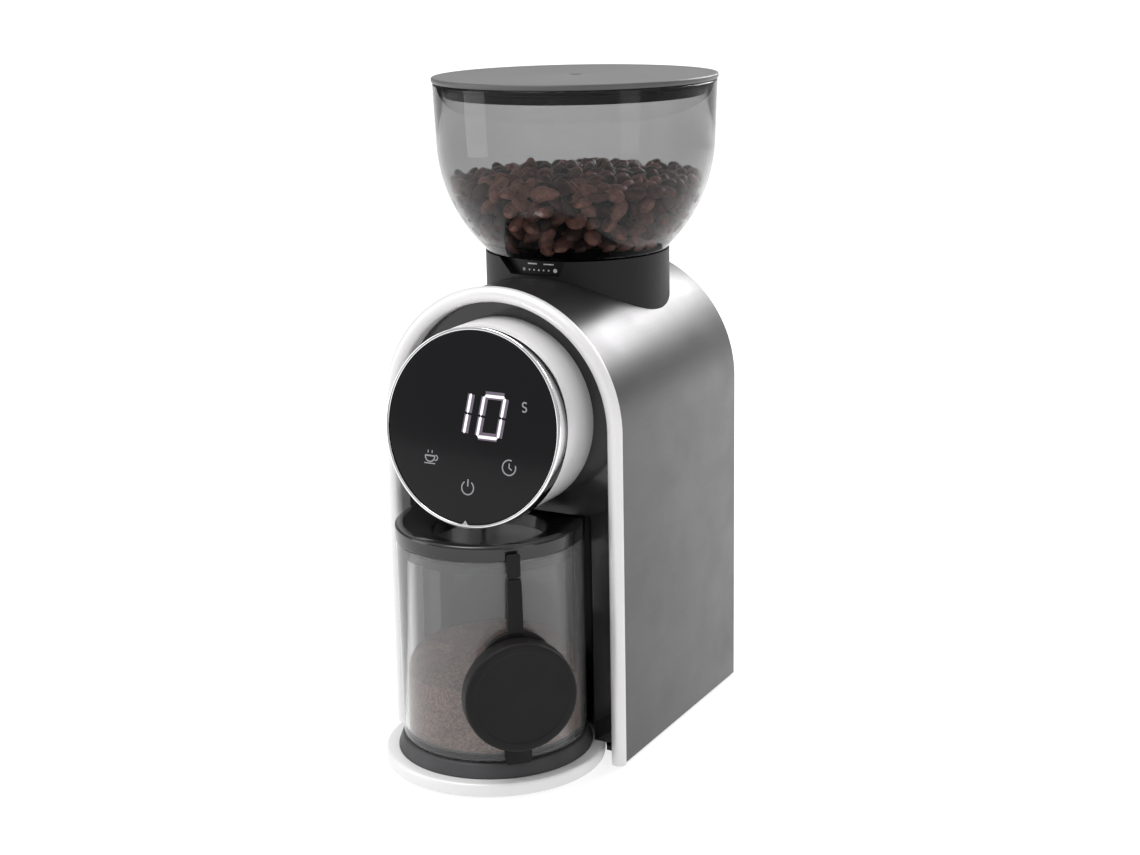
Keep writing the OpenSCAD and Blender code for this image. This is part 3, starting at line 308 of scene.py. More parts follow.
class Paint:
    """Small helper that builds one procedural material."""

    def __init__(self, name, colour, roughness, metallic=0.0, **sockets):
        self.material = bpy.data.materials.new(name)
        self.material.use_nodes = True
        self.tree = self.material.node_tree
        self.shader = self.tree.nodes["Principled BSDF"]
        self.shader.inputs["Base Color"].default_value = (*colour, 1)
        self.shader.inputs["Roughness"].default_value = roughness
        self.shader.inputs["Metallic"].default_value = metallic
        for socket, value in sockets.items():
            self.shader.inputs[socket.replace("_", " ")].default_value = value
        self.colour = colour
        self.roughness = roughness
        self.place = self.node("ShaderNodeTexCoord").outputs["Object"]

    def node(self, kind, **values):
        made = self.tree.nodes.new(kind)
        for key, value in values.items():
            if hasattr(made, key):
                setattr(made, key, value)
            else:
                made.inputs[key.replace("_", " ")].default_value = value
        return made

    def link(self, source, target):
        self.tree.links.new(source, target)

    def stretched(self, scale):
        """Object coordinates scaled along each axis."""
        mapping = self.node("ShaderNodeMapping")
        mapping.inputs["Scale"].default_value = scale
        self.link(self.place, mapping.inputs["Vector"])
        return mapping.outputs["Vector"]

    def noise(self, scale, detail=4.0, stretch=(1, 1, 1), roughness=0.5):
        """Noise over the surface. Its scale is in features per metre."""
        made = self.node("ShaderNodeTexNoise", Scale=scale, Detail=detail, Roughness=roughness)
        self.link(self.stretched(stretch), made.inputs["Vector"])
        return made.outputs["Fac"]

    def ramp(self, source, low, high, start=0.3, stop=0.7):
        """Maps a value through a ramp between two greys or colours."""
        made = self.node("ShaderNodeValToRGB")
        for stop_at, value, element in ((start, low, 0), (stop, high, 1)):
            colour = value if isinstance(value, tuple) else (value, value, value)
            made.color_ramp.elements[element].position = stop_at
            made.color_ramp.elements[element].color = (*colour, 1)
        self.link(source, made.inputs["Fac"])
        return made.outputs["Color"]

    def vary_colour(self, source, low, high, start=0.3, stop=0.7):
        """Base colour between two shades of the material's own."""
        shades = [tuple(min(1, c * f) for c in self.colour) for f in (low, high)]
        self.link(self.ramp(source, *shades, start, stop), self.shader.inputs["Base Color"])
        return self

    def vary_roughness(self, source, spread, start=0.3, stop=0.7):
        low, high = self.roughness - spread, self.roughness + spread
        self.link(self.ramp(source, low, high, start, stop), self.shader.inputs["Roughness"])
        return self

    def bump(self, source, depth, strength=1.0):
        """Bump whose depth is in metres."""
        made = self.node("ShaderNodeBump", Strength=strength, Distance=depth)
        self.link(source, made.inputs["Height"])
        self.link(made.outputs["Normal"], self.shader.inputs["Normal"])
        return self


def shell_paint():
    """Dark grey metal with a fine grain brushed along the body."""
    paint = Paint("shell_metal", (0.083, 0.081, 0.083), 0.36, 0.8)
    brush = paint.noise(1500, 3, (1, 0.02, 1))
    paint.vary_colour(brush, 0.95, 1.05)
    paint.vary_roughness(paint.noise(40, 4), 0.04)
    return paint.bump(brush, 0.00001, 0.2).material


def satin_paint(name, colour, metallic):
    """Light satin metal."""
    paint = Paint(name, colour, 0.4, metallic)
    grain = paint.noise(2600, 3)
    paint.vary_roughness(paint.noise(60, 4), 0.04)
    paint.vary_colour(grain, 0.95, 1.03)
    return paint.bump(grain, 0.00001, 0.25).material


def chrome_paint():
    paint = Paint("chrome_trim", (0.88, 0.88, 0.89), 0.06, 1.0)
    return paint.vary_roughness(paint.noise(90, 3), 0.02).material


def gloss_paint():
    paint = Paint("gloss_black", (0.011, 0.011, 0.012), 0.16, Coat_Weight=0.2, Coat_Roughness=0.04)
    paint.vary_roughness(paint.noise(120, 4), 0.03)
    return paint.bump(paint.noise(35, 2), 0.0001, 0.08).material


def moulded(name, colour, roughness, grain=1400, depth=0.00004):
    """Moulded plastic with a fine spark-eroded grain."""
    paint = Paint(name, colour, roughness, Specular_IOR_Level=0.25)
    texture = paint.noise(grain, 5, roughness=0.6)
    paint.vary_colour(paint.noise(55, 3), 0.9, 1.12)
    paint.vary_roughness(texture, 0.06)
    return paint.bump(texture, depth, 0.35).material


def rubber(name, colour, roughness=0.62):
    paint = Paint(name, colour, roughness, Specular_IOR_Level=0.22)
    texture = paint.noise(900, 4)
    paint.vary_colour(paint.noise(70, 3), 0.85, 1.2)
    return paint.bump(texture, 0.00005, 0.25).material


def smoke_paint(name, colour, clear, smoke, bend):
    """Smoky clear plastic, darkest edge on. What isn't clear scatters light as a faint haze."""
    paint = Paint(name, colour, 0.03, Transmission_Weight=clear, IOR=bend)
    paint.vary_roughness(paint.noise(60, 3), 0.012)
    inside = paint.node("ShaderNodeVolumeAbsorption", Color=(0.5, 0.5, 0.5, 1), Density=smoke)
    paint.link(inside.outputs["Volume"], paint.tree.nodes["Material Output"].inputs["Volume"])
    return paint.bump(paint.noise(22, 2), 0.0003, 0.03).material


def display_paint():
    paint = Paint("display_black", (0.006, 0.006, 0.007), 0.12, Specular_IOR_Level=0.2)
    return paint.vary_roughness(paint.noise(30, 3), 0.02).material


def lid_paint():
    paint = Paint("lid_grey", (0.075, 0.075, 0.077), 0.42)
    texture = paint.noise(1100, 5, roughness=0.6)
    paint.vary_colour(paint.noise(30, 3), 0.93, 1.08)
    return paint.bump(texture, 0.00005, 0.3).material


def metal(name, colour, roughness, stretch=(1, 1, 0.03)):
    """Turned or brushed metal."""
    paint = Paint(name, colour, roughness, 1.0)
    brush = paint.noise(1200, 3, stretch)
    paint.vary_colour(brush, 0.8, 1.12)
    paint.vary_roughness(paint.noise(80, 4), 0.06)
    return paint.bump(brush, 0.00003, 0.3).material


def bean_paint():
    """Roasted beans: each has its own tone, with a slight oily gloss."""
    paint = Paint("roasted_beans", (0.13, 0.065, 0.04), 0.4, Specular_IOR_Level=0.35)
    tone = paint.node("ShaderNodeAttribute", attribute_name="tone")
    blotch = paint.noise(420, 4)
    mixed = paint.node("ShaderNodeMix", data_type="RGBA", blend_type="MULTIPLY")
    mixed.inputs[0].default_value = 1
    paint.link(tone.outputs["Color"], mixed.inputs[6])
    paint.link(paint.ramp(blotch, 0.6, 1.15), mixed.inputs[7])
    paint.link(mixed.outputs[2], paint.shader.inputs["Base Color"])
    paint.vary_roughness(paint.noise(300, 3), 0.08)
    return paint.bump(paint.noise(1500, 4), 0.00012, 0.5).material


def grounds_paint():
    """Ground coffee: fine grains in mixed browns."""
    paint = Paint("ground_coffee", (0.19, 0.105, 0.065), 0.85)
    grains = paint.node("ShaderNodeTexVoronoi", Scale=1500.0)
    paint.link(paint.place, grains.inputs["Vector"])
    mixed = paint.node("ShaderNodeMix", data_type="RGBA", blend_type="MULTIPLY")
    mixed.inputs[0].default_value = 1
    paint.link(paint.ramp(grains.outputs["Color"], (0.10, 0.05, 0.03), (0.3, 0.18, 0.115)), mixed.inputs[6])
    paint.link(paint.ramp(paint.noise(45, 4), 0.75, 1.1), mixed.inputs[7])
    paint.link(mixed.outputs[2], paint.shader.inputs["Base Color"])
    return paint.bump(grains.outputs["Distance"], 0.0004, 0.7).material


def glow_paint(name, colour, strength):
    paint = Paint(name, (0.02, 0.02, 0.02), 0.3, Emission_Strength=strength)
    cells = paint.noise(500, 2)
    shades = [tuple(c * f for c in colour) for f in (0.92, 1.0)]
    paint.link(paint.ramp(cells, *shades), paint.shader.inputs["Emission Color"])
    return paint.material


MATERIALS = {
    "shell_metal": shell_paint(),
    "satin_metal": satin_paint("satin_metal", (0.76, 0.75, 0.755), 0.3),
    "chrome_trim": chrome_paint(),
    "gloss_black": gloss_paint(),
    "matte_black": moulded("matte_black", (0.006, 0.0058, 0.006), 0.5),
    "dark_grey_plastic": moulded("dark_grey_plastic", (0.06, 0.06, 0.063), 0.5),
    "inner_plastic": moulded("inner_plastic", (0.06, 0.06, 0.062), 0.5),
    "rubber_black": rubber("rubber_black", (0.02, 0.02, 0.02)),
    "soft_black": rubber("soft_black", (0.006, 0.005, 0.0056), 0.55),
    "seal_black": rubber("seal_black", (0.014, 0.014, 0.014), 0.3),
    "lid_grey": lid_paint(),
    "smoke_clear": smoke_paint("smoke_clear", (0.72, 0.72, 0.725), 1.0, 290, 1.3),
    "display_black": display_paint(),
    "circuit_board": moulded("circuit_board", (0.02, 0.13, 0.06), 0.35, 500),
    "steel": metal("steel", (0.6, 0.6, 0.61), 0.28),
    "burr_steel": metal("burr_steel", (0.45, 0.45, 0.47), 0.32),
    "bronze": metal("bronze", (0.65, 0.45, 0.2), 0.3),
    "nylon_white": moulded("nylon_white", (0.72, 0.71, 0.64), 0.45),
    "motor_steel": metal("motor_steel", (0.42, 0.42, 0.44), 0.35),
    "rotor_copper": metal("rotor_copper", (0.55, 0.3, 0.16), 0.35),
    "wire_red": moulded("wire_red", (0.45, 0.03, 0.03), 0.4),
    "roasted_beans": bean_paint(),
    "ground_coffee": grounds_paint(),
}
# Lighter, less metallic copy of the satin metal for the dish: painted light, standing in for the light bounced
# onto the dish top
LIGHTENED_DISH_METAL = satin_paint("satin_dish_lightened", (0.8, 0.795, 0.795), 0.1)
SMOKE_JAR = smoke_paint("smoke_jar", (0.88, 0.88, 0.89), 0.94, 40, 1.42)
DIGIT_GLOW = glow_paint("digit_glow", (1.0, 0.96, 1.0), 1.2)
HALO_GLOW = glow_paint("halo_glow", (0.55, 0.42, 0.6), 0.25)
ICON_GLOW = glow_paint("icon_glow", (0.62, 0.6, 0.64), 0.5)
MARK_PAINT = moulded("mark_white", (0.75, 0.75, 0.75), 0.5)


def finish_with(obj, material):
    obj.data.materials.clear()
    obj.data.materials.append(material)
    return obj


def paint_frame():
    """Gives every carried-over node the material of its slot."""
    for part in frame["record"]["subparts"]:
        finish_with(frame["nodes"][part["node"]], MATERIALS[part["material_slot"]])


def add(obj, slot, body, *nodes, material=None):
    """Finishes a piece: its material, its body and the nodes it stands for."""
    finish_with(obj, material or MATERIALS[slot])
    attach(obj, body)
    if nodes:
        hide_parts(*nodes)
    return obj


paint_frame()


# ------------------------------------------------------------------- pieces

def make_shell():
    """Sheet metal arch with a rolled rear edge and the hole for the collar."""
    low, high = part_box("body_shell")
    outer, wall, roll = high.x / MM, 1.2, 0.5
    seam, back = low.y / MM, high.y / MM
    section = [(outer, seam), (outer, back - roll)] + arc(outer - roll, back - roll, roll, 0, 90, 4)[1:] + [
        (outer - wall, back - 0.1), (outer - wall, seam)]
    shell = arch_sweep("shell", section)
    cutter = lathe("cutter", [(0, 200), (COLLAR_HOLE, 200), (COLLAR_HOLE, 250), (0, 250)], HOPPER_AXIS)
    carve(shell, cutter)
    return add(shell, "shell_metal", "housing", "body_shell")


def make_bezel():
    """Half-round satin frame round the front, with its return to the dark panel."""
    outer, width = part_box("front_bezel")[1].x / MM, 7.6
    seam = SEAM_Y
    inner, tube_r = outer - width, width / 2
    rim = arc(outer - tube_r, seam + 0.3, tube_r, -4.5, -175.5, 15 * FINE)
    section = rim + [(inner, seam + 9), (inner + 2.2, seam + 9), (inner + 2.2, seam + 4),
                     (outer - 2.85, seam + 4), (outer - 2.85, seam)]
    return add(arch_sweep("bezel", section), "satin_metal", "housing", "front_bezel")


def make_dish():
    """Satin dish under the jar, with the tongue that ties it to the base."""
    low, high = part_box("base_dish")
    r, top, foot = radius("base_dish") / MM, high.z / MM, low.z / MM
    rim, floor = 6.2, 2.0
    outline = rounded([(0, foot, 0), (r, foot, 1.2), (r, top, 1.5), (r - rim, top, 0.5),
                       (r - rim, foot + floor, 0.4), (0, foot + floor, 0)])
    dish = lathe("dish", outline, JAR_AXIS)
    y0, y1 = JAR_AXIS.y / MM + r - 8, high.y / MM
    tongue = slab("tongue", (-30, y0, foot + 3), (30, y1, top - 0.5))
    # The dish wears the lightened satin copy, whose extra brightness is painted bounced light
    return add(join("dish", dish, tongue), "satin_metal", "housing", "base_dish", material=LIGHTENED_DISH_METAL)


def make_platform():
    """Dark tray that the jar stands on."""
    low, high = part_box("jar_platform")
    r, top, foot = radius("jar_platform") / MM, high.z / MM, low.z / MM
    seat = radius("grounds_jar") / MM
    outline = rounded([(0, foot, 0), (r, foot, 0.3), (r, foot + 5.2, 0.8), (seat + 0.5, top - 0.4, 1.2),
                       (seat - 1.5, top, 1.0), (0, top, 0)])
    return add(lathe("platform", outline, JAR_AXIS), "dark_grey_plastic", "housing", "jar_platform")


def make_jar():
    """Smoky jar with a thick rounded foot."""
    low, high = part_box("grounds_jar")
    r, wall, floor = radius("grounds_jar") / MM, 2.0, 3.0
    z0, z1 = low.z / MM, high.z / MM
    outline = rounded([
        (0, z0 + 0.4, 0), (r - 7, z0 + 0.4, 0.4), (r - 5.5, z0, 0.5), (r, z0, 2.2), (r, z1, 0.7),
        (r - wall, z1, 0.7), (r - wall, z0 + floor, 2.5), (0, z0 + floor, 0)])
    return add(lathe("jar", outline, JAR_AXIS, 192), "smoke_clear", "jar", "grounds_jar", material=SMOKE_JAR)


def make_jar_lid():
    """Glossy ring lid with a dished middle, the plug's mouth and the strap's root."""
    r, bore = radius_of_lid() / MM, radius("grounds_jar") / MM - 2.0
    top, seat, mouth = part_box("jar_lid")[1].z / MM, LID_SEAT, 26.9
    skirt = bore - 0.5
    outline = rounded([
        (mouth, seat - 4, 0.4), (mouth + 2, seat - 4, 0.4), (mouth + 2, seat, 0.2), (skirt - 2, seat, 0.2),
        (skirt - 2, seat - 7, 0.3), (skirt - 1.2, seat - 7, 0.3), (skirt - 1.2, seat - 2, 0.1),
        (skirt, seat - 2, 0.2), (skirt, seat, 0.1), (r, seat, 0.5), (r, top, 1.6), (r - 4, top, 1.5),
        (mouth + 1, top - 4, 1.0),
        (mouth, top - 5, 0.5)])
    lid = lathe("jar_lid_ring", outline, JAR_AXIS, 192)
    root = slab("strap_root", (-ROOT_HALF, -r - 0.9, top - 2.8), (ROOT_HALF, -r + 2.1, top - 0.8), 0.6,
                stopper_matrix())
    return add(join("jar_lid_ring", lid, root), "gloss_black", "jar_cover", "jar_lid")


def make_grounds():
    """Heaped ground coffee with a crumbled top."""
    low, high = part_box("ground_coffee")
    r, z0, z1 = radius("ground_coffee") / MM, low.z / MM, high.z / MM
    rings, sides = 26 * FINE, 96 * FINE
    rng = random.Random(7)
    waves = [(rng.uniform(0.06, 0.5), rng.uniform(0, 6.3), rng.uniform(0, 6.3), rng.uniform(0.3, 1))
             for _ in range(26)]
    verts, faces = [], []
    foot_z, rim_z = z0 + 2.5, z1 - 5.5
    wall = [(r - 2.2, z0), (r, foot_z)] + [(r, foot_z + (rim_z - foot_z) * t) for t in (0.3, 0.6, 0.9)]
    for i in range(sides):
        a = 2 * math.pi * i / sides
        for pr, pz in wall:
            verts.append((pr * math.cos(a), pr * math.sin(a), pz))
        for k in range(rings):
            f = 1 - k / rings
            pr = r * f
            x, y = pr * math.cos(a), pr * math.sin(a)
            lump = sum(g * math.sin(w * x * math.cos(p) + w * y * math.sin(p) + q) for w, p, q, g in waves)
            verts.append((x, y, min(z1, z1 - 1.2 - 4.2 * f * f + lump * 0.14)))
    ring = len(wall) + rings
    for i in range(sides):
        j = (i + 1) % sides
        faces += [[i * ring + k, j * ring + k, j * ring + k + 1, i * ring + k + 1] for k in range(ring - 1)]
    top, bottom = len(verts), len(verts) + 1
    verts += [(0, 0, z1 - 1.2), (0, 0, z0)]
    for i in range(sides):
        j = (i + 1) % sides
        faces += [[i * ring + ring - 1, j * ring + ring - 1, top], [j * ring, i * ring, bottom]]
    place = Matrix.Translation((JAR_AXIS.x, JAR_AXIS.y, 0))
    obj = face_outwards(make("grounds", [place @ (Vector(v) * MM) for v in verts], faces, 60))
    return add(obj, "ground_coffee", "jar", "ground_coffee")


def make_strap():
    """Middle length of the strap, between its two folds."""
    low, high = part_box("strap_link")
    out = strap_out("strap_link")
    link = slab("strap_middle", (-STRAP_HALF, out - STRAP_T, low.z / MM), (STRAP_HALF, out, high.z / MM), 1.1,
                stopper_matrix())
    return add(link, "soft_black", "strap_root", "strap_link")


def make_stopper():
    """Round plug on its strap, with the plate behind it and the tab to pull."""
    plug_r, plug_len, plate_r, plate_up = 26.5, 10.0, 18.0, 11.5
    fold = joint("stopper_fold")["pos_m"][2] / MM
    place = stopper_matrix()
    back = strap_out("strap_link")
    front = back - STRAP_T
    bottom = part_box("stopper")[0].z / MM
    plug_z = bottom + plug_r + 9.5
    faced = place @ Matrix.Rotation(math.pi / 2, 4, "X")
    plug = lathe_on("plug", rounded([
        (0, -front - 0.1, 0), (plug_r, -front - 0.1, 0.6), (plug_r, -front + plug_len - 1.2, 2.8),
        (plug_r - 4.0, -front + plug_len - 1.2, 0.4), (plug_r - 4.8, -front + plug_len - 1.5, 0.4),
        (0, -front + plug_len - 1.7, 0)]), faced @ Matrix.Translation((0, plug_z * MM, 0)), 144)
    plate = lathe_on("plate", rounded([
        (0, -back, 0), (plate_r, -back, 0.7), (plate_r, -front, 0.7), (0, -front, 0)]),
        faced @ Matrix.Translation((0, (plug_z + plate_up) * MM, 0)), 96)
    side = [(STRAP_HALF, fold - 0.1, 0.2), (ROOT_HALF, plug_z, 0), (TAB_HALF, plug_z - 2, 0.3),
            (TAB_HALF, bottom, 1.6)]
    strap = rounded([(-x, z, r) for x, z, r in side] + side[::-1])
    band = prism("band", strap, STRAP_T, faced @ Matrix.Translation((0, 0, -front * MM)), 0.5)
    half_t = STRAP_T / 2
    knuckle = slab("knuckle", (-STRAP_HALF, front, fold - half_t), (STRAP_HALF, back, fold + half_t), 1.1,
                   place)
    obj = join("stopper_plug", plug, plate, band, knuckle)
    return add(obj, "soft_black", "stopper_body", "stopper")


def make_drum():
    """Tilted satin drum that carries the display."""
    low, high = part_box("control_drum")
    r, wall = (high.x - low.x) / 2 / MM, 2.2
    back = high.y / MM
    depth = 7.8
    sides = 180 * FINE
    cz = (low.z + high.z) / 2 / MM
    verts, faces = [], []

    def face_at(z, inset):
        """Y on the plane that lies inset behind the display, at height z."""
        foot = FACE / MM - FACE_OUT * inset
        return foot.y - (z - foot.z) * FACE_OUT.z / FACE_OUT.y

    profile = [(r - 3, 0.0), (r - 1.0, 0.0), (r - 0.3, 0.12), (r, 0.7), (r, None), (r - wall, None),
               (r - wall, 3.0), (r - 3, 3.0)]
    for i in range(sides):
        a = 2 * math.pi * i / sides
        for pr, inset in profile:
            x, z = pr * math.cos(a), cz + pr * math.sin(a)
            verts.append(Vector((x, back if inset is None else face_at(z, depth + inset), z)) * MM)
    count = len(profile)
    for i in range(sides):
        j = (i + 1) % sides
        faces += [[i * count + k, j * count + k, j * count + (k + 1) % count, i * count + (k + 1) % count]
                  for k in range(count)]
    drum = face_outwards(make("drum", verts, faces))
    seat_outline = [(40, -12, 0), (44.4, -12, 0.2), (44.4, -2.1, 0.2), (40, -2.1, 0.2)]
    seat = lathe_on("drum_seat", rounded(seat_outline), face_matrix(), sides)
    return add(join("drum", drum, seat), "satin_metal", "housing", "control_drum")


def make_dial():
    """Chrome turning ring with a small pip at its lower edge."""
    r, wall, length, proud = 47.0, 1.65, 8.0, 0.5
    low = proud - length
    outline = [(r - wall, low, 0.2), (r, low, 0.5), (r, proud, 0.6), (r - wall, proud, 0.4)]
    ring = lathe_on("dial", rounded(outline), face_matrix(), 180 * FINE)
    pip = prism("pip", [(-2.1, -r + 0.9), (2.1, -r + 0.9), (0, -r + 3.6)], 0.6, face_matrix(0.45 * MM), 0.12)
    return add(join("dial", ring, pip), "chrome_trim", "dial", "dial_ring")


def make_glass():
    """Black glass disc inside the ring."""
    r = 45.05
    outline = rounded([(0, 0, 0), (0, -2, 0), (r, -2, 0.1), (r, 0, 0.35)])
    face = lathe_on("display_face", outline, face_matrix(), 180)
    return add(face, "display_black", "housing", "display_glass")


def stroke(points, width):
    """Flat outline round an open line of points."""
    left, right = [], []
    for i, p in enumerate(points):
        before, after = Vector(points[max(i - 1, 0)]), Vector(points[min(i + 1, len(points) - 1)])
        along = (after - before).normalized()
        side = Vector((-along.y, along.x)) * width / 2
        left.append(tuple(Vector(p) + side))
        right.append(tuple(Vector(p) - side))
    return left + right[::-1]


def segment_bar(x0, y0, x1, y1, width):
    """Bar of a seven-segment digit, with pointed ends."""
    a, b = Vector((x0, y0)), Vector((x1, y1))
    along = (b - a).normalized()
    side = Vector((-along.y, along.x)) * width / 2
    tip = along * width / 2
    return [tuple(p) for p in (a, a + tip + side, b - tip + side, b, b - tip - side, a + tip - side)]


def digit(on, x, y, w, h, slant, width):
    """Lit bars of a slanted digit. `on` names the bars a to g."""
    gap = width * 0.12
    top, mid, low = y + h / 2, y, y - h / 2
    bars = {
        "a": (0, top, w, top), "b": (w, top, w, mid), "c": (w, mid, w, low), "d": (0, low, w, low),
        "e": (0, mid, 0, low), "f": (0, top, 0, mid), "g": (0, mid, w, mid)}
    shapes = []
    for name in on:
        x0, y0, x1, y1 = bars[name]
        a, b = Vector((x0, y0)), Vector((x1, y1))
        cut = (b - a).normalized() * gap
        a, b = a + cut, b - cut
        shapes.append([(x + px + slant * (py - low), py) for px, py in segment_bar(*a, *b, width)])
    return shapes


def plates(name, shapes, lift, material, slot="display_black"):
    """Thin raised plates on the display, joined into one piece."""
    made = [prism(f"{name}_{i}", shape, 0.05, face_matrix(lift * MM)) for i, shape in enumerate(shapes)]
    return add(join(name, *made), slot, "housing", material=material)


def ring_shape(x, y, r, width, start=0.0, end=360.0):
    """Flat ring, or part of one."""
    return stroke(arc(x, y, r, start, end, 28), width)


def make_display_marks():
    """Reading of 10 s and three plain symbols: cup, clock and on/off."""
    tall, slant, width = 19.2, 0.14, 1.4
    bars = digit("bc", -7.3, 6.6, 3.6, tall, slant, width)
    bars += digit("abcdef", 3.5, 6.0, 11.0, tall, slant, width)
    plates("digits", bars, 0.10, DIGIT_GLOW)
    halo = [stroke([(sum(p[0] for p in b[:2]) / 2, sum(p[1] for p in b[:2]) / 2),
                    (sum(p[0] for p in b[2:4]) / 2, sum(p[1] for p in b[2:4]) / 2)], 3.6) for b in bars]
    plates("digit_halo", halo, 0.06, HALO_GLOW)
    s = arc(27.6, 13.4, 1.1, 30, 270, 9) + arc(27.6, 11.2, 1.1, 90, -150, 9)
    cup = [ring_shape(-21.4, -15.4, 2.6, 0.6, 180, 360), stroke([(-24.2, -15.2), (-18.6, -15.2)], 0.7),
           ring_shape(-18.4, -16.0, 1.2, 0.5, -110, 90), stroke([(-24.4, -18.8), (-18.4, -18.8)], 0.5),
           stroke([(-22.6, -13.9), (-22.6, -12.6)], 0.5), stroke([(-20.4, -13.9), (-20.4, -12.6)], 0.5)]
    clock = [ring_shape(21.4, -16.2, 3.5, 0.6, 70, 380),
             stroke([(21.4, -14.2), (21.4, -16.3), (22.9, -17.2)], 0.6)]
    power = [ring_shape(0, -28.0, 3.2, 0.6, 125, 415), stroke([(0, -27.4), (0, -24.0)], 0.65)]
    plates("symbols", [stroke(s, 0.65)] + cup + clock + power, 0.08, ICON_GLOW)


def make_setting_marks():
    """Printed scale on the setting ring: bars above dots, between two plain end marks."""
    low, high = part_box("setting_ring")
    r = (high.x - low.x) / 2 / MM + 0.02
    top = high.z / MM

    def wrapped(name, shape, turn, z):
        """Flat shape wrapped onto the ring. X runs round it, in millimetres."""
        verts = []
        for lift in (0.0, 0.08):
            for x, y in shape:
                a = math.radians(turn - 90) + x / r
                verts.append(Vector((HOPPER_AXIS.x + (r + lift) * MM * math.cos(a),
                                     HOPPER_AXIS.y + (r + lift) * MM * math.sin(a), (z + y) * MM)))
        n = len(shape)
        faces = [list(range(n)), list(range(2 * n - 1, n - 1, -1))]
        faces += [[i, i + n, (i + 1) % n + n, (i + 1) % n] for i in range(n)]
        return face_outwards(make(name, verts, faces))

    dot = arc(0, 0, 0.42, 0, 330, 12)
    marks = [wrapped(f"dot_{i}", dot, -6.0 + 3.6 * i, top - 4.6) for i in range(5)]
    bar = [(-2.6, -0.3), (2.6, -0.3), (2.6, 0.3), (-2.6, 0.3)]
    marks += [wrapped(f"bar_{i}", bar, turn, top - 1.6) for i, turn in enumerate((-3.6, 8.4))]
    marks.append(wrapped("fine", stroke(arc(0, 0, 0.55, 0, 345, 12), 0.3), -10.5, top - 4.6))
    marks.append(wrapped("coarse", arc(0, 0, 1.0, 0, 330, 12), 13.0, top - 4.6))
    return add(join("setting_marks", *marks), "matte_black", "setting", material=MARK_PAINT)


def make_hopper():
    """Smoky bowl with a straight wall, a round belly and the neck that plugs into the collar."""
    low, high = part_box("hopper_bowl")
    r, top, neck_low = HOPPER_R, high.z / MM, low.z / MM
    wall, belly = HOPPER_WALL, BELLY_R
    shoulder = top - HOPPER_STRAIGHT
    foot = HOPPER_FOOT
    neck, neck_wall = 33.5, 2.2
    cx = r - HOPPER_TAPER - belly
    low_angle = -math.degrees(math.asin((shoulder - foot - 1.4) / belly))
    outer = arc(cx, shoulder, belly, low_angle, 0, 26)
    inner_angle = -math.degrees(math.asin((shoulder - foot - 6.5) / (belly - wall)))
    inner = arc(cx, shoulder, belly - wall, 0, inner_angle, 24)
    foot_r = outer[0][0]
    outline = rounded([(neck - neck_wall, neck_low, 0.4), (neck, neck_low, 0.6), (neck, foot, 0.4),
                       (foot_r - 0.8, foot, 0.6), (foot_r, foot + 1.3, 0.3)])
    lip = 0.7
    outline += outer[1:] + arc(r - lip, top - lip, lip, 0, 90, 4)
    outline += arc(r - wall + lip, top - lip, lip, 90, 180, 4)
    outline += inner[1:] + [(neck - neck_wall, foot + 1)]
    bowl = lathe("bowl", outline, HOPPER_AXIS, 192, 30)
    return add(bowl, "smoke_clear", "hopper", "hopper_bowl")


def make_hopper_lid():
    """Flat lid with a soft edge, a small dimple and the ring that holds its seal."""
    low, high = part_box("hopper_lid")
    r, top = radius("hopper_lid") / MM, high.z / MM
    under, low_z = top - 2.7, low.z / MM
    ring_out = HOPPER_R - 6.4
    outline = rounded([
        (0, under, 0), (ring_out - 2, under, 0.3), (ring_out - 2, low_z, 0.3), (ring_out, low_z, 0.4),
        (ring_out, under, 0.2), (r - 0.6, under, 0.4), (r, under + 1.0, 0.5), (r, top, 0.9),
        (r - 3.2, top, 0.8), (r - 3.6, top - 0.16, 0.3), (4.2, top - 0.16, 0.6), (3, top - 0.9, 0.5),
        (0, top - 0.9, 0)])
    return add(lathe("lid", outline, HOPPER_AXIS, 192), "lid_grey", "hopper_cover", "hopper_lid")


def bean_shape(steps=14, rings=9):
    """One bean lying along X: a half egg with a creased flat side, facing -Z."""
    points, faces = [], []
    for i in range(1, rings):
        t = math.pi * i / rings
        x, s = math.cos(t), math.sin(t)
        for k in range(steps):
            a = 2 * math.pi * k / steps
            y, z = s * math.cos(a), s * math.sin(a)
            z = z * (1.0 if z > 0 else 0.55)
            if z <= 0.02:
                z += 0.3 * math.exp(-(y / 0.16) ** 2) * s
            points.append((x * (1 + 0.05 * y), y, z))
    for i in range(rings - 2):
        for k in range(steps):
            m = (k + 1) % steps
            faces.append([i * steps + k, (i + 1) * steps + k, (i + 1) * steps + m, i * steps + m])
    ends = len(points)
    points += [(1, 0, 0), (-1, 0, 0)]
    last = (rings - 2) * steps
    for k in range(steps):
        m = (k + 1) % steps
        faces += [[ends, k, m], [ends + 1, last + m, last + k]]
    return np.array(points) * (5.7, 4.2, 3.9), faces


def bowl_inner(z):
    """Inner radius of the bowl, in millimetres, at a height."""
    shoulder, belly = HOPPER_TOP - HOPPER_STRAIGHT, BELLY_R - HOPPER_WALL
    if z >= shoulder:
        return HOPPER_R - HOPPER_TAPER - HOPPER_WALL
    return HOPPER_R - HOPPER_TAPER - BELLY_R + math.sqrt(max(0.0, belly ** 2 - (shoulder - z) ** 2))


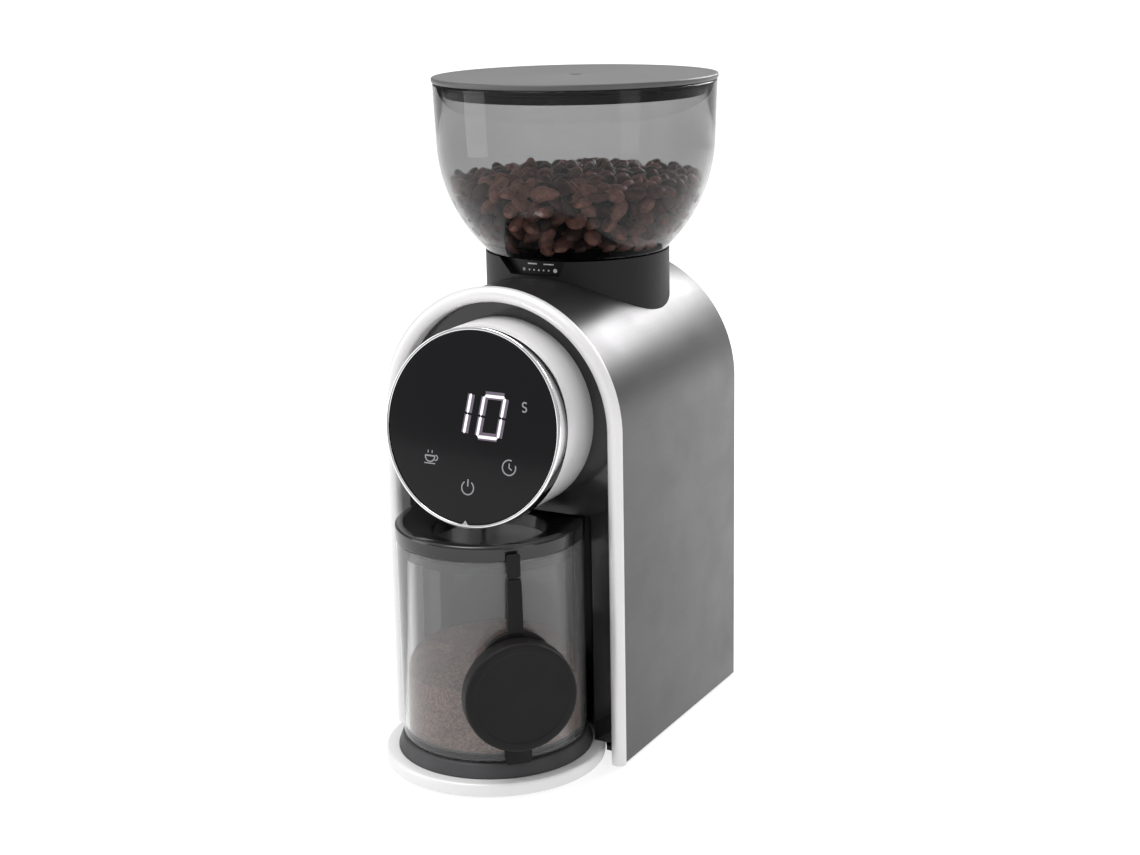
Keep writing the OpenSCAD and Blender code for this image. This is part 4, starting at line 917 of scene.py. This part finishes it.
def bean_places(rng):
    """Centres of the beans that show: along the wall in two layers, and over the domed top."""
    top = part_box("coffee_beans")[1].z / MM
    places = []
    floor = HOPPER_FOOT + 8.5
    rim = top - 7.0
    for depth, step in ((4.4, 6.6), (10.0, 7.6)):
        z = floor
        while z < rim:
            r = bowl_inner(z) - depth
            count = int(2 * math.pi * r / 9.4)
            shift = rng.random()
            for i in range(count):
                a = 2 * math.pi * (i + shift + rng.uniform(-0.22, 0.22)) / count
                places.append((r * math.cos(a), r * math.sin(a), z + rng.uniform(-1.5, 1.5)))
            z += step
    pitch = 9.0
    for layer, drop in ((0, 4.0), (1, 9.5)):
        rows = int(HOPPER_R / pitch)
        for i in range(-rows, rows + 1):
            for k in range(-rows, rows + 1):
                x = (k + 0.5 * (i % 2) + 0.33 * layer) * pitch + rng.uniform(-1.6, 1.6)
                y = i * pitch * 0.87 + rng.uniform(-1.6, 1.6)
                r = math.hypot(x, y)
                z = top - drop - r * r / DOME_FALL + rng.uniform(-1.4, 0.4)
                if r < bowl_inner(z) - BEAN_ROOM:
                    places.append((x, y, z))
    return places


def relax(points, spacing, rounds):
    """Pushes points that are too close apart and keeps them inside the bowl."""
    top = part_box("coffee_beans")[1].z / MM
    p = np.array(points)
    for _ in range(rounds):
        delta = p[:, None, :] - p[None, :, :]
        gap = np.linalg.norm(delta, axis=2) + np.eye(len(p)) * 1e3
        close = np.clip(spacing - gap, 0, None)[:, :, None]
        p += (delta / gap[:, :, None] * close * 0.22).sum(axis=1)
        for q in p:
            r = math.hypot(q[0], q[1])
            q[2] = min(max(q[2], HOPPER_FOOT + 8), top - 4.8 - r * r / DOME_FALL)
            most = bowl_inner(q[2]) - BEAN_ROOM
            if r > most:
                q[0] *= most / r
                q[1] *= most / r
    return p


def make_beans():
    """Roasted beans in the bowl, each with its own lie, size and tone, over a dark core."""
    rng = random.Random(21)
    shape, shape_faces = bean_shape()
    centres = relax(bean_places(rng), 7.9, 24)
    verts, faces, tones = [], [], []
    for cx, cy, cz in centres:
        spin = Matrix.Rotation(rng.uniform(0, 6.3), 3, "Z") @ Matrix.Rotation(rng.gauss(0, 0.55), 3, "Y")
        spin = spin @ Matrix.Rotation(rng.choice((0, math.pi)) + rng.gauss(0, 0.7), 3, "X")
        size = rng.uniform(0.86, 1.04)
        turned = shape @ np.array(spin.transposed()) * size + (cx, cy, cz)
        first = len(verts)
        verts.extend(turned.tolist())
        faces.extend([[first + v for v in f] for f in shape_faces])
        warm = rng.random() ** 1.3
        tone = (0.07 + 0.52 * warm, 0.033 + 0.26 * warm, 0.027 + 0.2 * warm, 1)
        tones.extend([tone] * len(shape))
    place = Matrix.Translation((HOPPER_AXIS.x, HOPPER_AXIS.y, 0))
    beans = make("beans", [place @ (Vector(v) * MM) for v in verts], faces, 70)
    tone_layer = beans.data.color_attributes.new("tone", "FLOAT_COLOR", "POINT")
    tone_layer.data.foreach_set("color", np.array(tones, np.float32).ravel())
    add(beans, "roasted_beans", "hopper", "coffee_beans")
    low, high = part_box("coffee_beans")
    steps = np.linspace(HOPPER_FOOT + 5, high.z / MM - 9, 12)
    outline = [(0, low.z / MM), (28, low.z / MM), (30, HOPPER_FOOT + 1)]
    outline += [(bowl_inner(z) - 7.5, z) for z in steps] + [(0, high.z / MM - 5)]
    core = lathe("bean_core", outline, HOPPER_AXIS, 96, 60)
    core_paint = moulded("bean_shadow", (0.02, 0.011, 0.008), 0.8, 300)
    return add(core, "roasted_beans", "hopper", "coffee_beans", material=core_paint)


def soften_cad():
    """Small rounds on the moulded and turned CAD pieces that stay as they are."""
    for name, width in (("collar", 0.35), ("setting_ring", 0.25), ("front_panel", 0.3), ("back_cover", 0.4),
                        ("base_pan", 0.3), ("cord_gland", 0.5), ("rubber_feet", 0.6), ("chassis", 0.4),
                        ("gearbox_cover", 0.4), ("burr_carrier", 0.25), ("grounds_chute", 0.3)):
        soften(frame["nodes"][name], width * MM, 2, 40)


for build in (make_shell, make_bezel, make_dish, make_platform, make_jar, make_jar_lid, make_grounds,
              make_strap, make_stopper, make_drum, make_dial, make_glass, make_display_marks,
              make_setting_marks, make_hopper, make_hopper_lid, make_beans, soften_cad):
    build()


# ------------------------------------------------------------ camera, light

def make_camera():
    """Camera in front, to the right and slightly above, with a long lens."""
    middle = (cad_box[0] + cad_box[1]) / 2
    azimuth, pitch, roll = math.radians(28.6), math.radians(14.5), math.radians(-1.1)
    data = bpy.data.cameras.new("camera")
    data.lens = 60.4
    data.sensor_width = 36
    camera = bpy.data.objects.new("camera", data)
    bpy.context.scene.collection.objects.link(camera)
    turn = (Matrix.Rotation(azimuth, 4, "Z") @ Matrix.Rotation(math.pi / 2 - pitch, 4, "X")
            @ Matrix.Rotation(roll, 4, "Z"))
    camera.matrix_world = Matrix.Translation(middle + Vector((0.4505, -0.79705, 0.228))) @ turn
    bpy.context.scene.camera = camera


def area_light(name, place, target, size, power):
    """Rectangular light that faces a target."""
    data = bpy.data.lights.new(name, "AREA")
    data.shape = "RECTANGLE"
    data.size, data.size_y = size
    data.energy = power
    light = bpy.data.objects.new(name, data)
    bpy.context.scene.collection.objects.link(light)
    light.location = place
    light.rotation_euler = (Vector(target) - Vector(place)).to_track_quat("-Z", "Y").to_euler()


def glow_towards(tree, direction, start, stop, strength):
    """World light that grows smoothly towards a direction."""
    place = tree.nodes.new("ShaderNodeTexCoord")
    dot = tree.nodes.new("ShaderNodeVectorMath")
    dot.operation = "DOT_PRODUCT"
    dot.inputs[1].default_value = Vector(direction).normalized()
    tree.links.new(place.outputs["Generated"], dot.inputs[0])
    grow = tree.nodes.new("ShaderNodeMapRange")
    grow.interpolation_type = "SMOOTHSTEP"
    for socket, value in (("From Min", start), ("From Max", stop), ("To Min", 0), ("To Max", strength)):
        grow.inputs[socket].default_value = value
    tree.links.new(dot.outputs["Value"], grow.inputs["Value"])
    return grow.outputs["Result"]


def make_world():
    """Soft tent of light, brightest overhead and weaker in front and behind.

    Seen directly, or through clear plastic, it is white.
    """
    world = bpy.data.worlds.new("studio")
    bpy.context.scene.world = world
    world.use_nodes = True
    tree = world.node_tree
    background = tree.nodes["Background"]
    background.inputs["Color"].default_value = (1, 1, 1, 1)
    total = None
    overhead = ((0, 0, 1), 0.25, 0.9, 0.75)
    in_front = ((-0.45, -0.89, 0.1), 0.0, 0.95, 0.35)
    behind = ((-0.1, 0.9, 0.42), 0.5, 0.95, 0.5)
    everywhere = ((0, 0, 1), -2, -1.5, 0.12)
    for direction, start, stop, strength in (overhead, in_front, behind, everywhere):
        part = glow_towards(tree, direction, start, stop, strength)
        if total is None:
            total = part
            continue
        added = tree.nodes.new("ShaderNodeMath")
        added.operation = "ADD"
        tree.links.new(total, added.inputs[0])
        tree.links.new(part, added.inputs[1])
        total = added.outputs[0]
    seen = tree.nodes.new("ShaderNodeLightPath")
    mix = tree.nodes.new("ShaderNodeMix")
    direct = tree.nodes.new("ShaderNodeMath")
    direct.operation = "MAXIMUM"
    tree.links.new(seen.outputs["Is Camera Ray"], direct.inputs[0])
    tree.links.new(seen.outputs["Is Transmission Ray"], direct.inputs[1])
    tree.links.new(direct.outputs[0], mix.inputs[0])
    tree.links.new(total, mix.inputs[2])
    mix.inputs[3].default_value = 1.0
    tree.links.new(mix.outputs[0], background.inputs["Strength"])


def make_floor():
    """Pale floor that glows a little, as a light table does, so that it meets the white background."""
    size = 12.0
    corners = [(-size, -size, 0), (size, -size, 0), (size, size, 0), (-size, size, 0)]
    floor = make("floor", corners, [[0, 1, 2, 3]])
    paint = Paint("floor_white", (0.3, 0.3, 0.3), 0.8, Emission_Color=(1, 1, 1, 1))
    paint.vary_colour(paint.noise(3, 2), 0.985, 1.0)
    reach = paint.node("ShaderNodeVectorMath", operation="LENGTH")
    paint.link(paint.place, reach.inputs[0])
    glow = paint.ramp(reach.outputs["Value"], 0.72, 0.9, 0.25, 1.0)
    paint.link(glow, paint.shader.inputs["Emission Strength"])
    finish_with(floor, paint.material)


def make_lights():
    """Upright strips at the sides, a soft light above the front, and one behind for the shoulder."""
    area_light("left_strip", (-1.25, -0.75, 0.35), (0, 0, 0.2), (0.6, 1.2), 5)
    area_light("right_strip", (1.3, -0.4, 0.5), (0, 0, 0.2), (0.4, 1.0), 1.6)
    area_light("top", (-0.2, -0.5, 1.25), (0, -0.03, 0.1), (0.6, 0.6), 8)
    area_light("back", (0.5, 1.5, 1.05), (0.03, 0.04, 0.2), (1.2, 0.8), 32)


bpy.context.scene.view_settings.view_transform = "Standard"
make_camera()
make_world()
make_floor()
make_lights()
